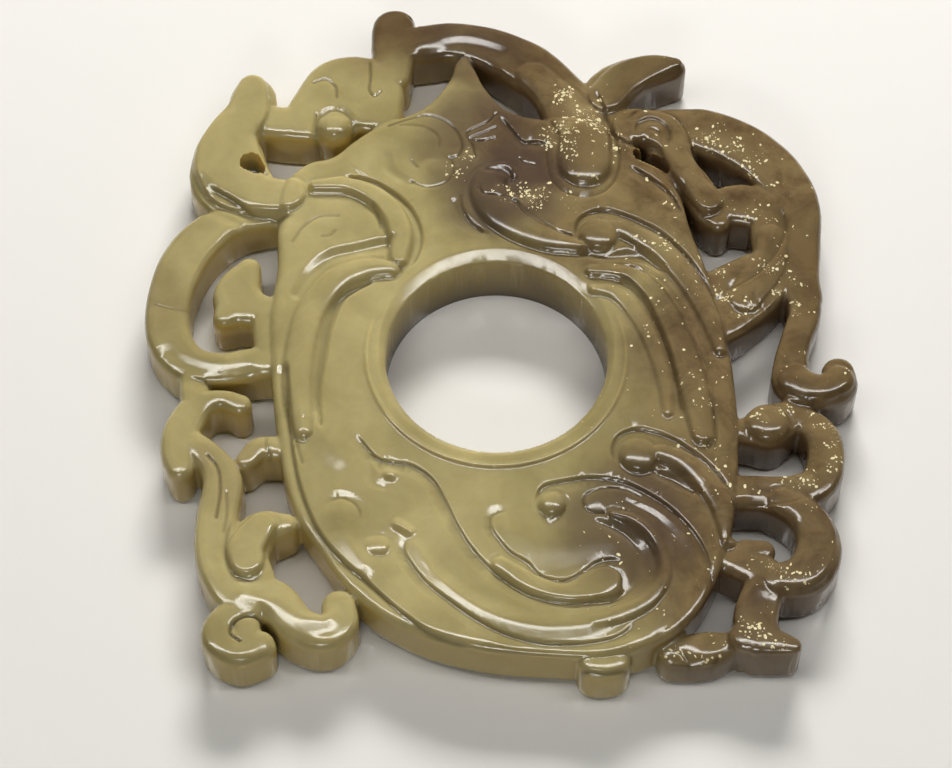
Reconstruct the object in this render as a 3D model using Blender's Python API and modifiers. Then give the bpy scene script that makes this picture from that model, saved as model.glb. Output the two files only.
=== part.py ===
"""An openwork pendant carved from one piece of nephrite, lying on its back.

A heart-shaped plate with a round hole carries curling limbs all round it. The plan is drawn in
millimetres at the drawn length, with the middle of the hole at (0, 0) and +Y towards the crest.
The finished piece is moved so that its underside lies on z = 0, with x = y = 0 under its middle.
"""

from math import cos, pi, sin

import bmesh
import bpy
import numpy as np
from mathutils import Matrix

MM = 0.001

# Driving dimensions, in millimetres
LENGTH = 79.6
LIMB_THICKNESS = 5.6
PLATE_THICKNESS = 6.1
PLATE_RISE = 0.8
HOLE_DIAMETER = 22.3
RIM_CHAMFER = 1.1
RIM_BEAD = 0.4
EDGE_ROUND = 1.0
FOOT_ROUND = 0.5
CARVING_RELIEF = 0.8
GROOVE_DEPTH = 0.5
DRILL_DEPTH = 2.6
STUMP_DROP = 1.2

# The finish of the faceted solid, in millimetres and triangles
SKIN_CELL = 0.27
TRIANGLES = 8600
HOLE_STEPS = 72

# The length at which the plan below is drawn, from the crest to the peg
DRAWN_LENGTH = 79.6
PLAN = LENGTH / DRAWN_LENGTH

# The rise of the face dies out at this distance from the middle of the hole
RISE_RADIUS = 25.0 * PLAN

# Each puck that a limb is wrapped round has this many corners
PUCK_CORNERS = 16

# The plate's outline, clockwise from its tip under the arch
PLATE = [
    (-3.7, 38.4), (-5.3, 35.0), (-7.2, 32.0), (-9.2, 30.4), (-12.0, 29.2), (-15.2, 26.8), (-17.4, 24.7),
    (-20.0, 23.8), (-22.2, 21.0), (-22.7, 16.0), (-22.5, 10.5), (-23.0, 4.5), (-22.4, -3.0), (-21.4, -10.0),
    (-19.7, -17.0), (-16.8, -22.0), (-13.2, -26.8), (-8.5, -30.2), (-2.5, -32.3), (5.0, -33.1), (11.5, -33.0),
    (16.0, -31.3), (19.4, -28.2), (21.4, -24.6), (23.1, -19.0), (23.9, -12.0), (23.9, -4.0), (23.0, 4.0),
    (21.4, 11.0), (19.9, 16.0), (18.6, 21.0), (15.0, 26.0), (9.0, 29.5), (4.0, 30.0), (1.0, 31.0),
    (-1.4, 33.8), (-2.7, 36.6),
]

# Each limb is a stroke through points of x, y and half width
LIMBS = {
    "arch": [(-11.6, 35.8, 2.1), (-11.0, 39.6, 2.4), (-8.0, 40.4, 2.3), (-5.0, 40.8, 2.3),
             (-1.0, 39.8, 2.6),
             (3.0, 37.4, 3.0), (5.8, 34.4, 3.0), (7.8, 31.0, 3.4), (8.8, 27.0, 3.6)],
    "crest": [(-11.6, 39.5, 2.2), (-11.6, 42.2, 2.2), (-11.2, 42.6, 2.1)],
    "cheek": [(-20.8, 29.9, 2.2), (-19.2, 32.4, 2.7), (-17.0, 34.8, 3.3), (-13.8, 34.4, 3.4),
              (-12.8, 30.8, 2.5)],
    "cheek stud": [(-17.3, 28.6, 1.9), (-16.0, 31.2, 2.6), (-13.8, 31.0, 2.6)],
    "cheek bar": [(-26.0, 30.0, 2.0), (-22.8, 29.5, 2.1), (-20.0, 29.5, 2.3)],
    "left column": [(-26.3, 34.1, 1.7), (-26.1, 32.6, 2.5), (-26.6, 30.0, 2.7), (-28.2, 27.4, 2.9),
                    (-28.3, 24.4, 3.9), (-27.6, 21.4, 4.2), (-25.0, 19.6, 3.0), (-21.5, 19.2, 2.6)],
    "great curl": [(-22.5, 18.2, 1.5), (-27.0, 17.3, 1.9), (-30.2, 15.0, 2.3), (-32.4, 11.4, 2.4),
                   (-33.4, 6.8, 2.3), (-33.0, 2.4, 2.3), (-30.9, -0.4, 2.1), (-27.8, -1.0, 1.8),
                   (-24.6, -0.4, 1.8), (-22.0, 0.0, 1.9)],
    "inner leaf": [(-25.4, 11.0, 1.2), (-26.3, 8.8, 2.2), (-26.2, 7.0, 2.6), (-24.2, 6.0, 1.9),
                   (-22.0, 5.6, 1.9)],
    "inner leaf tip": [(-26.4, 6.6, 2.3), (-27.6, 5.0, 1.2)],
    "inner leaf neck": [(-23.8, 6.0, 1.4), (-23.4, 2.5, 1.2), (-23.0, -0.5, 1.4)],
    "left hook": [(-25.5, -5.3, 1.2), (-27.4, -4.6, 1.2), (-29.6, -5.4, 1.6), (-31.0, -8.0, 1.9),
                  (-31.3, -10.6, 1.8), (-31.0, -12.6, 1.4)],
    "hook bridge": [(-30.4, -1.2, 1.6), (-30.0, -5.0, 1.5)],
    "left stem": [(-30.6, -9.4, 1.5), (-28.2, -11.3, 1.6), (-26.7, -14.0, 2.0), (-27.0, -18.0, 2.1),
                  (-26.8, -22.0, 2.2), (-25.6, -25.2, 2.2), (-23.6, -27.6, 2.2)],
    "stem tongue": [(-20.3, -18.8, 1.2), (-22.8, -19.4, 2.0), (-24.0, -22.4, 2.3), (-23.0, -25.4, 2.2)],
    "stem arm": [(-20.6, -10.3, 1.3), (-23.2, -10.3, 1.3), (-24.6, -11.8, 1.0)],
    "foot lobe": [(-24.0, -26.6, 2.0), (-21.2, -27.0, 2.2), (-18.8, -29.6, 2.0), (-16.2, -30.6, 1.9),
                  (-14.7, -29.4, 1.8), (-14.8, -27.6, 1.7)],
    "spiral": [(-23.4, -27.6, 1.6), (-25.8, -29.4, 1.6), (-26.0, -31.2, 1.8), (-24.2, -32.4, 1.8),
               (-22.2, -31.9, 1.6)],
    "spiral eye": [(-23.6, -29.6, 1.4), (-23.4, -31.0, 1.4)],
    "feather": [(10.2, 31.6, 2.4), (12.0, 34.4, 2.8), (14.6, 36.4, 2.3), (17.2, 37.2, 1.7),
                (18.8, 37.2, 1.1)],
    "shoulder curl": [(13.0, 29.0, 2.6), (15.4, 29.4, 2.6), (17.4, 28.4, 2.6), (17.8, 25.0, 1.9),
                      (19.0, 22.4, 1.5)],
    "right arc": [(16.5, 30.2, 1.9), (20.5, 29.3, 2.8), (25.0, 27.4, 3.0), (28.6, 24.2, 2.9),
                  (30.8, 20.0, 2.6),
                  (31.1, 15.0, 2.2), (30.8, 11.0, 2.2), (31.2, 8.4, 2.0)],
    "right branch": [(18.2, 27.6, 1.9), (19.2, 24.6, 1.7), (20.7, 21.6, 1.9), (22.2, 18.8, 1.9),
                     (22.8, 17.4, 1.3)],
    "right shelf": [(22.4, 19.2, 2.0), (25.4, 19.6, 2.6), (28.6, 18.6, 2.4)],
    "right wing": [(28.6, 17.0, 2.6), (28.6, 12.6, 2.6), (26.6, 8.8, 2.6), (24.0, 6.0, 2.4),
                   (22.4, 4.6, 2.2)],
    "wing root": [(28.0, 12.2, 2.2), (25.0, 10.6, 2.3), (21.8, 9.0, 2.0)],
    "right hook": [(31.2, 9.4, 1.9), (31.2, 6.2, 1.7), (30.2, 3.0, 1.6), (29.6, 0.2, 1.8),
                   (29.9, -2.2, 2.2),
                   (32.2, -3.0, 1.9), (34.2, -2.2, 1.9), (34.3, -0.7, 1.7)],
    "lower arc": [(26.9, -7.1, 2.5), (30.0, -5.8, 1.6), (32.2, -7.8, 1.8), (32.6, -10.8, 1.9),
                  (31.5, -13.6, 1.9),
                  (28.5, -14.6, 1.9), (24.8, -14.6, 1.9), (22.5, -14.6, 1.9)],
    "hook link": [(30.2, -2.8, 1.8), (30.2, -6.0, 1.6)],
    "ball root": [(26.4, -7.3, 2.0), (23.0, -7.9, 1.0)],
    "low curl": [(25.0, -14.8, 1.3), (28.0, -15.6, 1.7), (30.6, -17.6, 2.0), (31.4, -20.6, 2.3),
                 (30.2, -23.4, 2.3),
                 (27.4, -24.2, 1.9), (24.8, -22.8, 2.0), (22.6, -21.8, 1.9)],
    "low curl eye": [(24.4, -21.4, 1.6), (26.0, -21.2, 1.2)],
    "right foot": [(26.0, -25.0, 2.0), (25.1, -28.0, 2.2), (25.2, -30.2, 2.2)],
    "foot toe": [(24.0, -30.4, 1.7), (26.2, -30.8, 1.6), (28.4, -31.4, 0.9)],
    "peg": [(9.5, -32.0, 1.4), (9.5, -33.5, 1.4), (11.6, -33.3, 1.4), (11.6, -32.0, 1.4)],
}

# The broken lower corner stands lower than the limbs
STUMP = [(17.2, -31.6, 1.6), (20.2, -31.2, 1.9), (22.0, -30.8, 1.5), (23.4, -30.2, 1.2)]

# Carved bands: share of the full relief, then a stroke as above
BANDS = {
    "left feather": (0.9, [(-10.8, 9.9, 0.9), (-13.5, 9.9, 1.3), (-16.6, 8.4, 1.5), (-18.7, 5.0, 1.5),
                           (-19.6, 0.5, 1.5), (-19.7, -4.5, 1.4), (-18.9, -9.0, 1.0)]),
    "shoulder ring": (0.9, [(-19.0, 20.6, 0.8), (-15.4, 20.8, 1.2), (-12.2, 19.2, 1.3), (-10.2, 16.6, 1.3),
                            (-9.4, 13.4, 1.2), (-9.8, 10.8, 0.9)]),
    "ear scroll": (0.5, [(-13.6, 27.2, 0.9), (-10.2, 28.3, 1.1), (-6.6, 27.8, 1.1), (-4.9, 25.8, 0.9),
                         (-5.6, 23.9, 0.7)]),
    "ear curl": (0.5, [(-11.6, 23.2, 0.8), (-9.6, 21.2, 0.9), (-6.8, 21.3, 0.9), (-5.6, 22.9, 0.7)]),
    "brow band": (1.0, [(0.6, 24.0, 1.0), (-1.6, 22.4, 1.3), (-2.3, 19.6, 1.4), (-1.2, 16.9, 1.4),
                        (1.4, 14.9, 1.4), (4.6, 13.7, 1.3), (7.6, 13.1, 0.9)]),
    "neck": (0.7, [(3.6, 35.4, 1.8), (6.8, 31.4, 2.3), (8.6, 28.4, 2.4)]),
    "snout": (1.4, [(8.9, 26.6, 2.6), (9.0, 23.7, 2.7)]),
    "upper ball": (1.2, [(10.2, 15.1, 2.0), (10.4, 14.8, 2.1)]),
    "upper tail": (0.9, [(12.3, 15.3, 1.0), (15.6, 13.4, 1.3), (18.4, 9.9, 1.4), (20.8, 5.4, 1.2),
                         (22.2, 1.0, 0.7)]),
    "right band": (0.9, [(10.4, 9.6, 0.9), (12.8, 9.8, 1.1), (15.2, 8.1, 1.3), (17.2, 4.8, 1.5),
                         (18.8, 0.2, 1.6), (19.8, -4.6, 1.6), (20.2, -9.0, 1.1)]),
    "lower ball": (1.2, [(14.0, -11.2, 1.9), (14.2, -11.5, 1.9)]),
    "lower tail": (0.9, [(16.2, -10.9, 0.9), (18.8, -11.7, 1.2), (21.0, -13.8, 1.3), (22.4, -16.8, 1.2),
                         (22.6, -20.0, 0.8)]),
    "under tail": (0.6, [(16.6, -14.6, 0.8), (19.2, -16.2, 1.1), (21.2, -19.4, 1.1), (21.6, -22.6, 0.8)]),
    "great spiral": (1.0, [(9.9, -16.6, 1.2), (13.0, -16.3, 1.6), (16.5, -18.7, 1.9), (18.5, -22.4, 1.9),
                           (18.2, -26.2, 1.9), (16.0, -29.6, 1.6), (14.4, -31.4, 1.0)]),
    "crescent": (1.0, [(-7.6, -21.2, 0.9), (-5.2, -24.4, 1.3), (-2.0, -27.4, 1.5), (2.5, -29.4, 1.5),
                       (7.5, -29.9, 1.4), (11.5, -29.2, 1.2), (14.4, -26.8, 0.8)]),
    "cloud": (0.8, [(2.4, -20.2, 2.3), (6.0, -21.4, 3.1), (9.0, -20.4, 2.2)]),
    "cloud tail": (0.8, [(4.0, -25.4, 0.8), (7.4, -26.4, 1.0), (10.6, -25.4, 1.5)]),
    "cloud ball": (1.1, [(5.4, -17.2, 1.2), (5.6, -17.5, 1.2)]),
    "left tongue": (0.7, [(-17.0, -10.5, 1.1), (-15.8, -12.8, 1.5), (-14.2, -14.4, 1.4)]),
    "left ball": (0.8, [(-14.1, -19.0, 1.8), (-13.9, -19.2, 1.8)]),
    "left bead": (0.7, [(-11.6, -22.0, 1.0), (-11.2, -22.1, 1.0)]),
    "stud": (1.0, [(-17.4, 28.4, 1.5), (-17.2, 28.3, 1.5)]),
    "lower arc ball": (1.0, [(26.8, -7.0, 2.0), (27.0, -7.2, 2.0)]),
    "tongue face": (0.6, [(-23.0, -19.6, 1.4), (-23.9, -22.0, 1.7), (-23.6, -23.4, 1.6)]),
    "wing face": (0.7, [(28.2, 15.0, 1.6), (27.6, 11.6, 1.8), (25.2, 7.6, 1.7)]),
}

# Carved grooves: share of the full depth, then a stroke as above
GROOVES = {
    "sweep": (1.0, [(-13.8, -9.2, 0.5), (-11.0, -12.4, 0.7), (-8.0, -12.8, 0.7), (-5.8, -14.4, 0.7),
                    (-4.4, -17.4, 0.7), (-3.2, -21.0, 0.7), (-0.8, -24.5, 0.7), (2.4, -26.8, 0.7),
                    (5.5, -28.0, 0.6)]),
    "feather groove": (1.0, [(-13.8, 8.0, 0.5), (-16.2, 5.8, 0.7), (-17.2, 2.8, 0.7), (-17.6, -0.8, 0.7),
                             (-17.8, -4.6, 0.6), (-17.2, -8.6, 0.4)]),
    "snout moat": (0.9, [(5.6, 27.6, 0.5), (5.4, 23.6, 0.6), (6.8, 20.8, 0.7), (9.2, 19.8, 0.7),
                         (11.5, 20.8, 0.7), (12.7, 23.4, 0.6), (12.6, 27.6, 0.5)]),
    "upper moat": (0.9, [(7.6, 13.9, 0.5), (8.2, 16.4, 0.6), (10.3, 17.7, 0.7), (13.2, 17.1, 0.7),
                         (16.4, 15.0, 0.7), (19.2, 11.6, 0.7), (21.3, 7.2, 0.6), (22.6, 3.0, 0.5)]),
    "lower moat": (0.9, [(11.6, -12.2, 0.5), (11.7, -9.9, 0.6), (13.6, -8.8, 0.7), (16.4, -9.0, 0.7),
                         (19.4, -10.4, 0.7), (22.0, -13.0, 0.7), (23.4, -15.6, 0.5)]),
    "hook groove": (0.9, [(-16.2, -18.6, 0.5), (-15.4, -17.2, 0.6), (-13.7, -16.6, 0.6),
                          (-12.2, -17.5, 0.5),
                          (-12.4, -18.9, 0.4)]),
    "cloud line": (0.9, [(-0.2, -19.6, 0.5), (1.4, -22.4, 0.6), (4.0, -24.2, 0.6), (7.2, -25.2, 0.6),
                         (9.6, -23.6, 0.5)]),
}

# Blind holes drilled beside the limbs: strokes as above
DRILLED = {
    "column pit": [(-25.7, 23.5, 1.0), (-25.0, 22.8, 0.7)],
    "shoulder pit": [(15.0, 25.0, 0.9), (16.4, 24.3, 0.8), (17.3, 23.4, 0.4)],
}


def clear_objects():
    for thing in list(bpy.data.objects):
        bpy.data.objects.remove(thing)


def new_collection(name):
    group = bpy.data.collections.new(name)
    bpy.context.scene.collection.children.link(group)
    return group


def smooth_path(points, pieces=5):
    """A Catmull-Rom curve through the points, with every value of a point carried along."""
    knots = np.array(points) * PLAN
    knots = np.vstack([2 * knots[0] - knots[1], knots, 2 * knots[-1] - knots[-2]])
    path = []
    for before, start, end, after in zip(knots, knots[1:], knots[2:], knots[3:]):
        for t in np.arange(pieces) / pieces:
            bend = 2 * before - 5 * start + 4 * end - after
            turn = 3 * start - 3 * end + after - before
            path.append(start + 0.5 * ((end - before) * t + bend * t**2 + turn * t**3))
    path.append(knots[-2])
    return np.array(path)


def puck(x, y, radius, top):
    """The points of a round puck with softened rims, standing on z = 0."""
    rim = min(EDGE_ROUND, 0.8 * radius)
    rings = [
        (0.0, radius - FOOT_ROUND),
        (FOOT_ROUND, radius),
        (top - rim, radius),
        (top - 0.3 * rim, radius - 0.3 * rim),
        (top, radius - rim),
    ]
    points = []
    for level, reach in rings:
        reach = max(reach, 0.1)
        for corner in range(PUCK_CORNERS):
            turn = 2 * pi * corner / PUCK_CORNERS
            points.append((x + reach * cos(turn), y + reach * sin(turn), level))
    return points


def add_hull(body, corners):
    """Adds the closed hull round the corners to the body."""
    piece = bmesh.new()
    verts = [piece.verts.new(np.array(corner) * MM) for corner in corners]
    hull = bmesh.ops.convex_hull(piece, input=verts)
    spare = hull["geom_interior"] + hull["geom_unused"]
    bmesh.ops.delete(piece, geom=list(set(spare)), context="VERTS")
    mesh = bpy.data.meshes.new("hull")
    piece.to_mesh(mesh)
    piece.free()
    body.from_mesh(mesh)
    bpy.data.meshes.remove(mesh)


def add_stroke(body, points, top):
    """A limb: each two neighbouring pucks along the stroke are wrapped in one hull."""
    path = smooth_path(points)
    for (x0, y0, r0), (x1, y1, r1) in zip(path, path[1:]):
        add_hull(body, puck(x0, y0, r0, top) + puck(x1, y1, r1, top))


def add_plate(body):
    """The plate as a filled outline of full thickness with a rounded edge."""
    curve = bpy.data.curves.new("plate_outline", "CURVE")
    curve.dimensions = "2D"
    curve.fill_mode = "BOTH"
    curve.extrude = (PLATE_THICKNESS / 2 - EDGE_ROUND) * MM
    curve.bevel_depth = EDGE_ROUND * MM
    curve.bevel_resolution = 2
    curve.offset = -EDGE_ROUND * MM
    curve.resolution_u = 6
    spline = curve.splines.new("BEZIER")
    spline.bezier_points.add(len(PLATE) - 1)
    spline.use_cyclic_u = True
    for knot, (x, y) in zip(spline.bezier_points, PLATE):
        knot.co = (x * PLAN * MM, y * PLAN * MM, 0)
        knot.handle_left_type = "AUTO"
        knot.handle_right_type = "AUTO"
    thing = bpy.data.objects.new("plate_outline", curve)
    bpy.context.scene.collection.objects.link(thing)
    bpy.context.view_layer.update()
    plate = bpy.data.meshes.new_from_object(thing.evaluated_get(bpy.context.evaluated_depsgraph_get()))
    plate.transform(Matrix.Translation((0, 0, PLATE_THICKNESS / 2 * MM)))
    body.from_mesh(plate)
    bpy.data.objects.remove(thing)
    bpy.data.meshes.remove(plate)


def evaluated_mesh(thing):
    bpy.context.view_layer.update()
    return bpy.data.meshes.new_from_object(thing.evaluated_get(bpy.context.evaluated_depsgraph_get()))


def inside_depth(points, x, y):
    """How far each place lies inside a stroke's edge, below zero outside it."""
    depth = np.full(x.shape, -np.inf)
    path = smooth_path(points)
    for start, end in zip(path, path[1:]):
        step = end - start
        run = max(step[0] ** 2 + step[1] ** 2, 1e-12)
        share = np.clip(((x - start[0]) * step[0] + (y - start[1]) * step[1]) / run, 0, 1)
        away = np.hypot(x - start[0] - share * step[0], y - start[1] - share * step[1])
        depth = np.maximum(depth, start[2] + share * step[2] - away)
    return depth


def rounded(share):
    """0 to 1 along a quarter of a circle, so that a band has a round back."""
    return np.sqrt(1 - (1 - np.clip(share, 0, 1)) ** 2)


def face_rise(out):
    """The gentle swell of the face at a distance from the middle of the hole."""
    return PLATE_RISE * np.clip(1 - (out / RISE_RADIUS) ** 2, 0, 1)


def carving(x, y):
    """The height that carving adds to the face at each place, in millimetres."""
    out = np.hypot(x, y)
    height = face_rise(out)
    bead = HOLE_DIAMETER / 2 + RIM_CHAMFER + RIM_BEAD
    raised = RIM_BEAD * rounded(1 - np.abs(out - bead) / (2 * RIM_BEAD))
    for share, points in BANDS.values():
        full = max(width for _, _, width in points) * PLAN
        raised = np.maximum(raised, CARVING_RELIEF * share * rounded(inside_depth(points, x, y) / full))
    sunk = np.zeros(x.shape)
    for share, points in GROOVES.values():
        sunk = np.maximum(sunk, GROOVE_DEPTH * share * rounded(2 * inside_depth(points, x, y) / PLAN))
    for points in DRILLED.values():
        sunk = np.maximum(sunk, DRILL_DEPTH * rounded(2 * inside_depth(points, x, y) / PLAN))
    return height + raised - sunk


def carve(mesh):
    """Moves the face up and down by the carving, and lays the underside flat."""
    spots = np.empty(3 * len(mesh.vertices))
    mesh.vertices.foreach_get("co", spots)
    spots = spots.reshape(-1, 3) / MM
    upper = np.clip((spots[:, 2] / LIMB_THICKNESS - 0.5) / 0.3, 0, 1)
    spots[:, 2] += upper * carving(spots[:, 0], spots[:, 1])
    spots[spots[:, 2] < SKIN_CELL / 2, 2] = 0
    mesh.vertices.foreach_set("co", (spots * MM).ravel())
    mesh.update()


def settle(mesh):
    """Snaps the thinned underside to z = 0 and joins points closer than a hair."""
    body = bmesh.new()
    body.from_mesh(mesh)
    for vert in body.verts:
        if vert.co.z < SKIN_CELL / 2 * MM:
            vert.co.z = 0
    bmesh.ops.remove_doubles(body, verts=body.verts, dist=SKIN_CELL / 10 * MM)
    bmesh.ops.triangulate(body, faces=body.faces)
    body.to_mesh(mesh)
    body.free()


def hole_cutter(group):
    """A turned cutter for the hole, flared at the face and a little at the underside."""
    radius = HOLE_DIAMETER / 2
    face = PLATE_THICKNESS + face_rise(radius)
    above = 2 * RIM_CHAMFER
    below = 1.0
    profile = [
        (0, face + above),
        (radius + RIM_CHAMFER + above, face + above),
        (radius, face - RIM_CHAMFER),
        (radius, FOOT_ROUND),
        (radius + FOOT_ROUND + below, -below),
        (0, -below),
    ]
    mesh = bpy.data.meshes.new("hole_cutter")
    spots = [(x * MM, 0, z * MM) for x, z in profile]
    mesh.from_pydata(spots, [(i, i + 1) for i in range(len(spots) - 1)], [])
    thing = bpy.data.objects.new("hole_cutter", mesh)
    group.objects.link(thing)
    turn = thing.modifiers.new("turn", "SCREW")
    turn.steps = HOLE_STEPS
    turn.render_steps = HOLE_STEPS
    turn.use_merge_vertices = True
    turn.merge_threshold = 0.00001
    thing.hide_render = True
    thing.display_type = "WIRE"
    return thing


def nephrite():
    stone = bpy.data.materials.new("nephrite")
    stone.use_nodes = True
    shader = stone.node_tree.nodes["Principled BSDF"]
    shader.inputs["Base Color"].default_value = (0.31, 0.25, 0.12, 1)
    shader.inputs["Roughness"].default_value = 0.25
    shader.inputs["Metallic"].default_value = 0.0
    return stone


def build():
    clear_objects()
    parts = new_collection("jade_pendant")
    cutters = new_collection("cutters")

    body = bmesh.new()
    for points in LIMBS.values():
        add_stroke(body, points, LIMB_THICKNESS)
    add_stroke(body, STUMP, LIMB_THICKNESS - STUMP_DROP)
    add_plate(body)
    rough = bpy.data.meshes.new("rough")
    body.to_mesh(rough)
    body.free()

    blank = bpy.data.objects.new("blank", rough)
    parts.objects.link(blank)
    skin = blank.modifiers.new("one skin", "REMESH")
    skin.mode = "VOXEL"
    skin.voxel_size = SKIN_CELL * MM
    carved = evaluated_mesh(blank)
    carve(carved)

    blank.modifiers.clear()
    blank.data = carved
    thin = blank.modifiers.new("fewer faces", "DECIMATE")
    thin.use_collapse_triangulate = True
    thin.ratio = TRIANGLES / (2 * len(carved.polygons))
    pendant_mesh = evaluated_mesh(blank)
    bpy.data.objects.remove(blank)
    settle(pendant_mesh)

    spots = np.array([vert.co for vert in pendant_mesh.vertices])
    middle = (spots.min(axis=0) + spots.max(axis=0)) / 2
    home = Matrix.Translation((-middle[0], -middle[1], 0))
    pendant_mesh.transform(home)
    pendant_mesh.shade_smooth()
    pendant_mesh.set_sharp_from_angle(angle=pi / 5)
    pendant_mesh.materials.append(nephrite())
    pendant = bpy.data.objects.new("jade_pendant", pendant_mesh)
    parts.objects.link(pendant)

    cutter = hole_cutter(cutters)
    cutter.location = home.translation
    hole = pendant.modifiers.new("hole", "BOOLEAN")
    hole.operation = "DIFFERENCE"
    hole.solver = "EXACT"
    hole.object = cutter


build()
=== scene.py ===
"""An openwork pendant carved from one piece of nephrite, lying on its back on a pale floor.

The stone takes the place of its plain CAD solid, which gives the size. The carving's plan is drawn in
millimetres, with the middle of the hole at (0, 0) and +Y towards the crest, as in the CAD.
"""

from math import cos, pi, radians, sin

import bmesh
import bpy
import numpy as np
from mathutils import Matrix, Vector


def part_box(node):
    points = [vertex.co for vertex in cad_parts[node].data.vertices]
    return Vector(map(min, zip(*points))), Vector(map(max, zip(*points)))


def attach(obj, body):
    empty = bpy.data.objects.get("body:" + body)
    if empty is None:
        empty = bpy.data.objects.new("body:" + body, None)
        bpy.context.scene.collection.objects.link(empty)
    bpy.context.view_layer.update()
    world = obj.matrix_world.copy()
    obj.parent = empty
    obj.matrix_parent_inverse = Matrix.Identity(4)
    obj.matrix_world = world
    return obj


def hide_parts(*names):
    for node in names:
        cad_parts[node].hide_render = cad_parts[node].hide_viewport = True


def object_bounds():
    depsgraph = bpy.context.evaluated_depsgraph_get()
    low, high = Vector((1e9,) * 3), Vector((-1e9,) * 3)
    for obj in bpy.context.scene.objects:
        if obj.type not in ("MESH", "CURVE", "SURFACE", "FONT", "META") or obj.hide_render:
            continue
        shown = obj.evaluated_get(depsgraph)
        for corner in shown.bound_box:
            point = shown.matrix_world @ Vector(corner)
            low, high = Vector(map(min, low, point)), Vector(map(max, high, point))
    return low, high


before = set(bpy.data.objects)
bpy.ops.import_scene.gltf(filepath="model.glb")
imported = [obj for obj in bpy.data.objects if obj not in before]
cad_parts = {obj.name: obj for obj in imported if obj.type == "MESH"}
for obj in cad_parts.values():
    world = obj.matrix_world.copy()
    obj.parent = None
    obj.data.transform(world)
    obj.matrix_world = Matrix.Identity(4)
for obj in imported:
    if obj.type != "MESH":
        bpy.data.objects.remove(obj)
cad_low, cad_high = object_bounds()

MM = 0.001

# The limbs, the plate and the round hole, in millimetres as in the CAD
LIMB_THICKNESS = 5.6
PLATE_THICKNESS = 6.1
PLATE_RISE = 0.8
RISE_RADIUS = 25.0
HOLE_RADIUS = 11.15
STUMP_DROP = 1.2

# The dressed edges, in millimetres
EDGE_ROUND = 1.1
FOOT_ROUND = 0.5
CHAMFER_WIDTH = 1.6
CHAMFER_DROP = 0.6
RIM_BEAD_RADIUS = 12.95
RIM_BEAD_WIDTH = 0.45
RIM_BEAD_RISE = 0.25

# The chamfer's width at the hole's near side and its soft upper edge, as shares of the full width
NEAR_CHAMFER = 0.4
CHAMFER_BLEND = 0.15

# The carving, in millimetres: bands with a moat beside them, and all that is cut into the face
RELIEF = 0.85
SHOULDER = 0.6
MOAT_WIDTH = 0.6
MOAT_DEPTH = 0.1
GROOVE_DEPTH = 0.5
SLANT_WALL = 0.3
END_FADE = 1.5
DRILL_DEPTH = 2.6
LINE_WIDTH = 0.28
LINE_DEPTH = 0.22

# A slanting cut's slope beside the hole, and how much it grows for each millimetre towards the crest
SLANT_SLOPE = 0.305
SLANT_STEEPER = 0.0028

# The share of its depth that a groove and a pit gain per millimetre, and how many reaches a face that
# falls takes to come back
GROOVE_STEEPNESS = 1.4
DRILL_STEEPNESS = 2
FALL_SPAN = 3

# The share of the limb's thickness where the carving starts, and the share over which it becomes full
CARVED_FROM = 0.5
CARVED_OVER = 0.3

# The fineness of the stone's mesh: millimetres, then triangles
SKIN_CELL = 0.17
TRIANGLES = 180000

# Corners of each puck in a limb, and of the bore
PUCK_CORNERS = 20
BORE_CORNERS = 180

# The stone keeps this far inside the CAD solid's box, in millimetres
BOX_HAIR = 0.01

# The stone's colours
OLIVE_PALE = "#b4a776"
OLIVE_DEEP = "#968a5d"
BROWN = "#7e6b4a"
BROWN_DARK = "#57452d"
PLUM = "#4c3d36"
# The next two colour the steep sides: a painted glow of light through the stone where it is pale, and
# painted shade where it is brown
GLOW_HONEY = "#b59c52"
SHADED_WALL_BROWN = "#5a4229"
# Painted shade for the cuts and for the bore's lower wall
PAINTED_SHADE_BROWN = "#3f321e"
SPECKLED = "#a8956a"
FLECK = "#e6d9ab"

# Its patterns' sizes and depths and how deep light seeps in, in millimetres. Then its roughness, the share
# of a stain that has full strength, and the angle of a crisp edge
WANDER = 7.0
WANDER_SIZE = 9
CLOUD_SIZE = 11.0
MOTTLE_SIZE = 3.0
SCRATCH_SIZE = 0.5
SCRATCH_DEPTH = 0.006
RIPPLE_SIZE = 3.5
RIPPLE_DEPTH = 0.012
SEEP = 1.6
GLOSSIEST = 0.14
DULLEST = 0.22
STAIN_CORE = 0.4
CREASE_ANGLE = 50.0

# Painted shade in each kind of cut. In the bore it is painted shade on the lower wall: it starts at a share
# of the limb's thickness and thickens downwards over some millimetres
GROOVE_SHADE = 0.35
DRILL_SHADE = 0.8
LINE_SHADE = 0.5
SLANT_SHADE = 0.4
BORE_SHADE = 0.95
BORE_SHADE_TOP = 0.75
BORE_SHADE_FADE = 1.2

# Flecks: how many on a square millimetre of a full cluster, and their lengths in millimetres
FLECKS_PER_MM2 = 46.0
FLECK_SMALLEST = 0.05
FLECK_LARGEST = 0.32
FLECK_CLUMP = 1.1
FLECK_SEED = 5

# Stray flecks: their share, where along X they start, and over how many millimetres they come in
STRAY_FLECKS = 0.02
STRAY_FROM = 4
STRAY_OVER = 14

# Flecks lie only above this share of the limb's thickness, and where the face is this upright
FACE_LEVEL = 0.6
FACE_UPRIGHT = 0.7

# The view: degrees, metres, millimetres
CAMERA_ELEVATION = 58.0
CAMERA_DISTANCE = 0.3
FACE_HEIGHT = 6.0
AIM_OFFSET = (-2.0, -3.3, 0.0)
SENSOR_WIDTH = 36.0
LENS = 113.4
FLOOR_SIZE = 4.0

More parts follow.
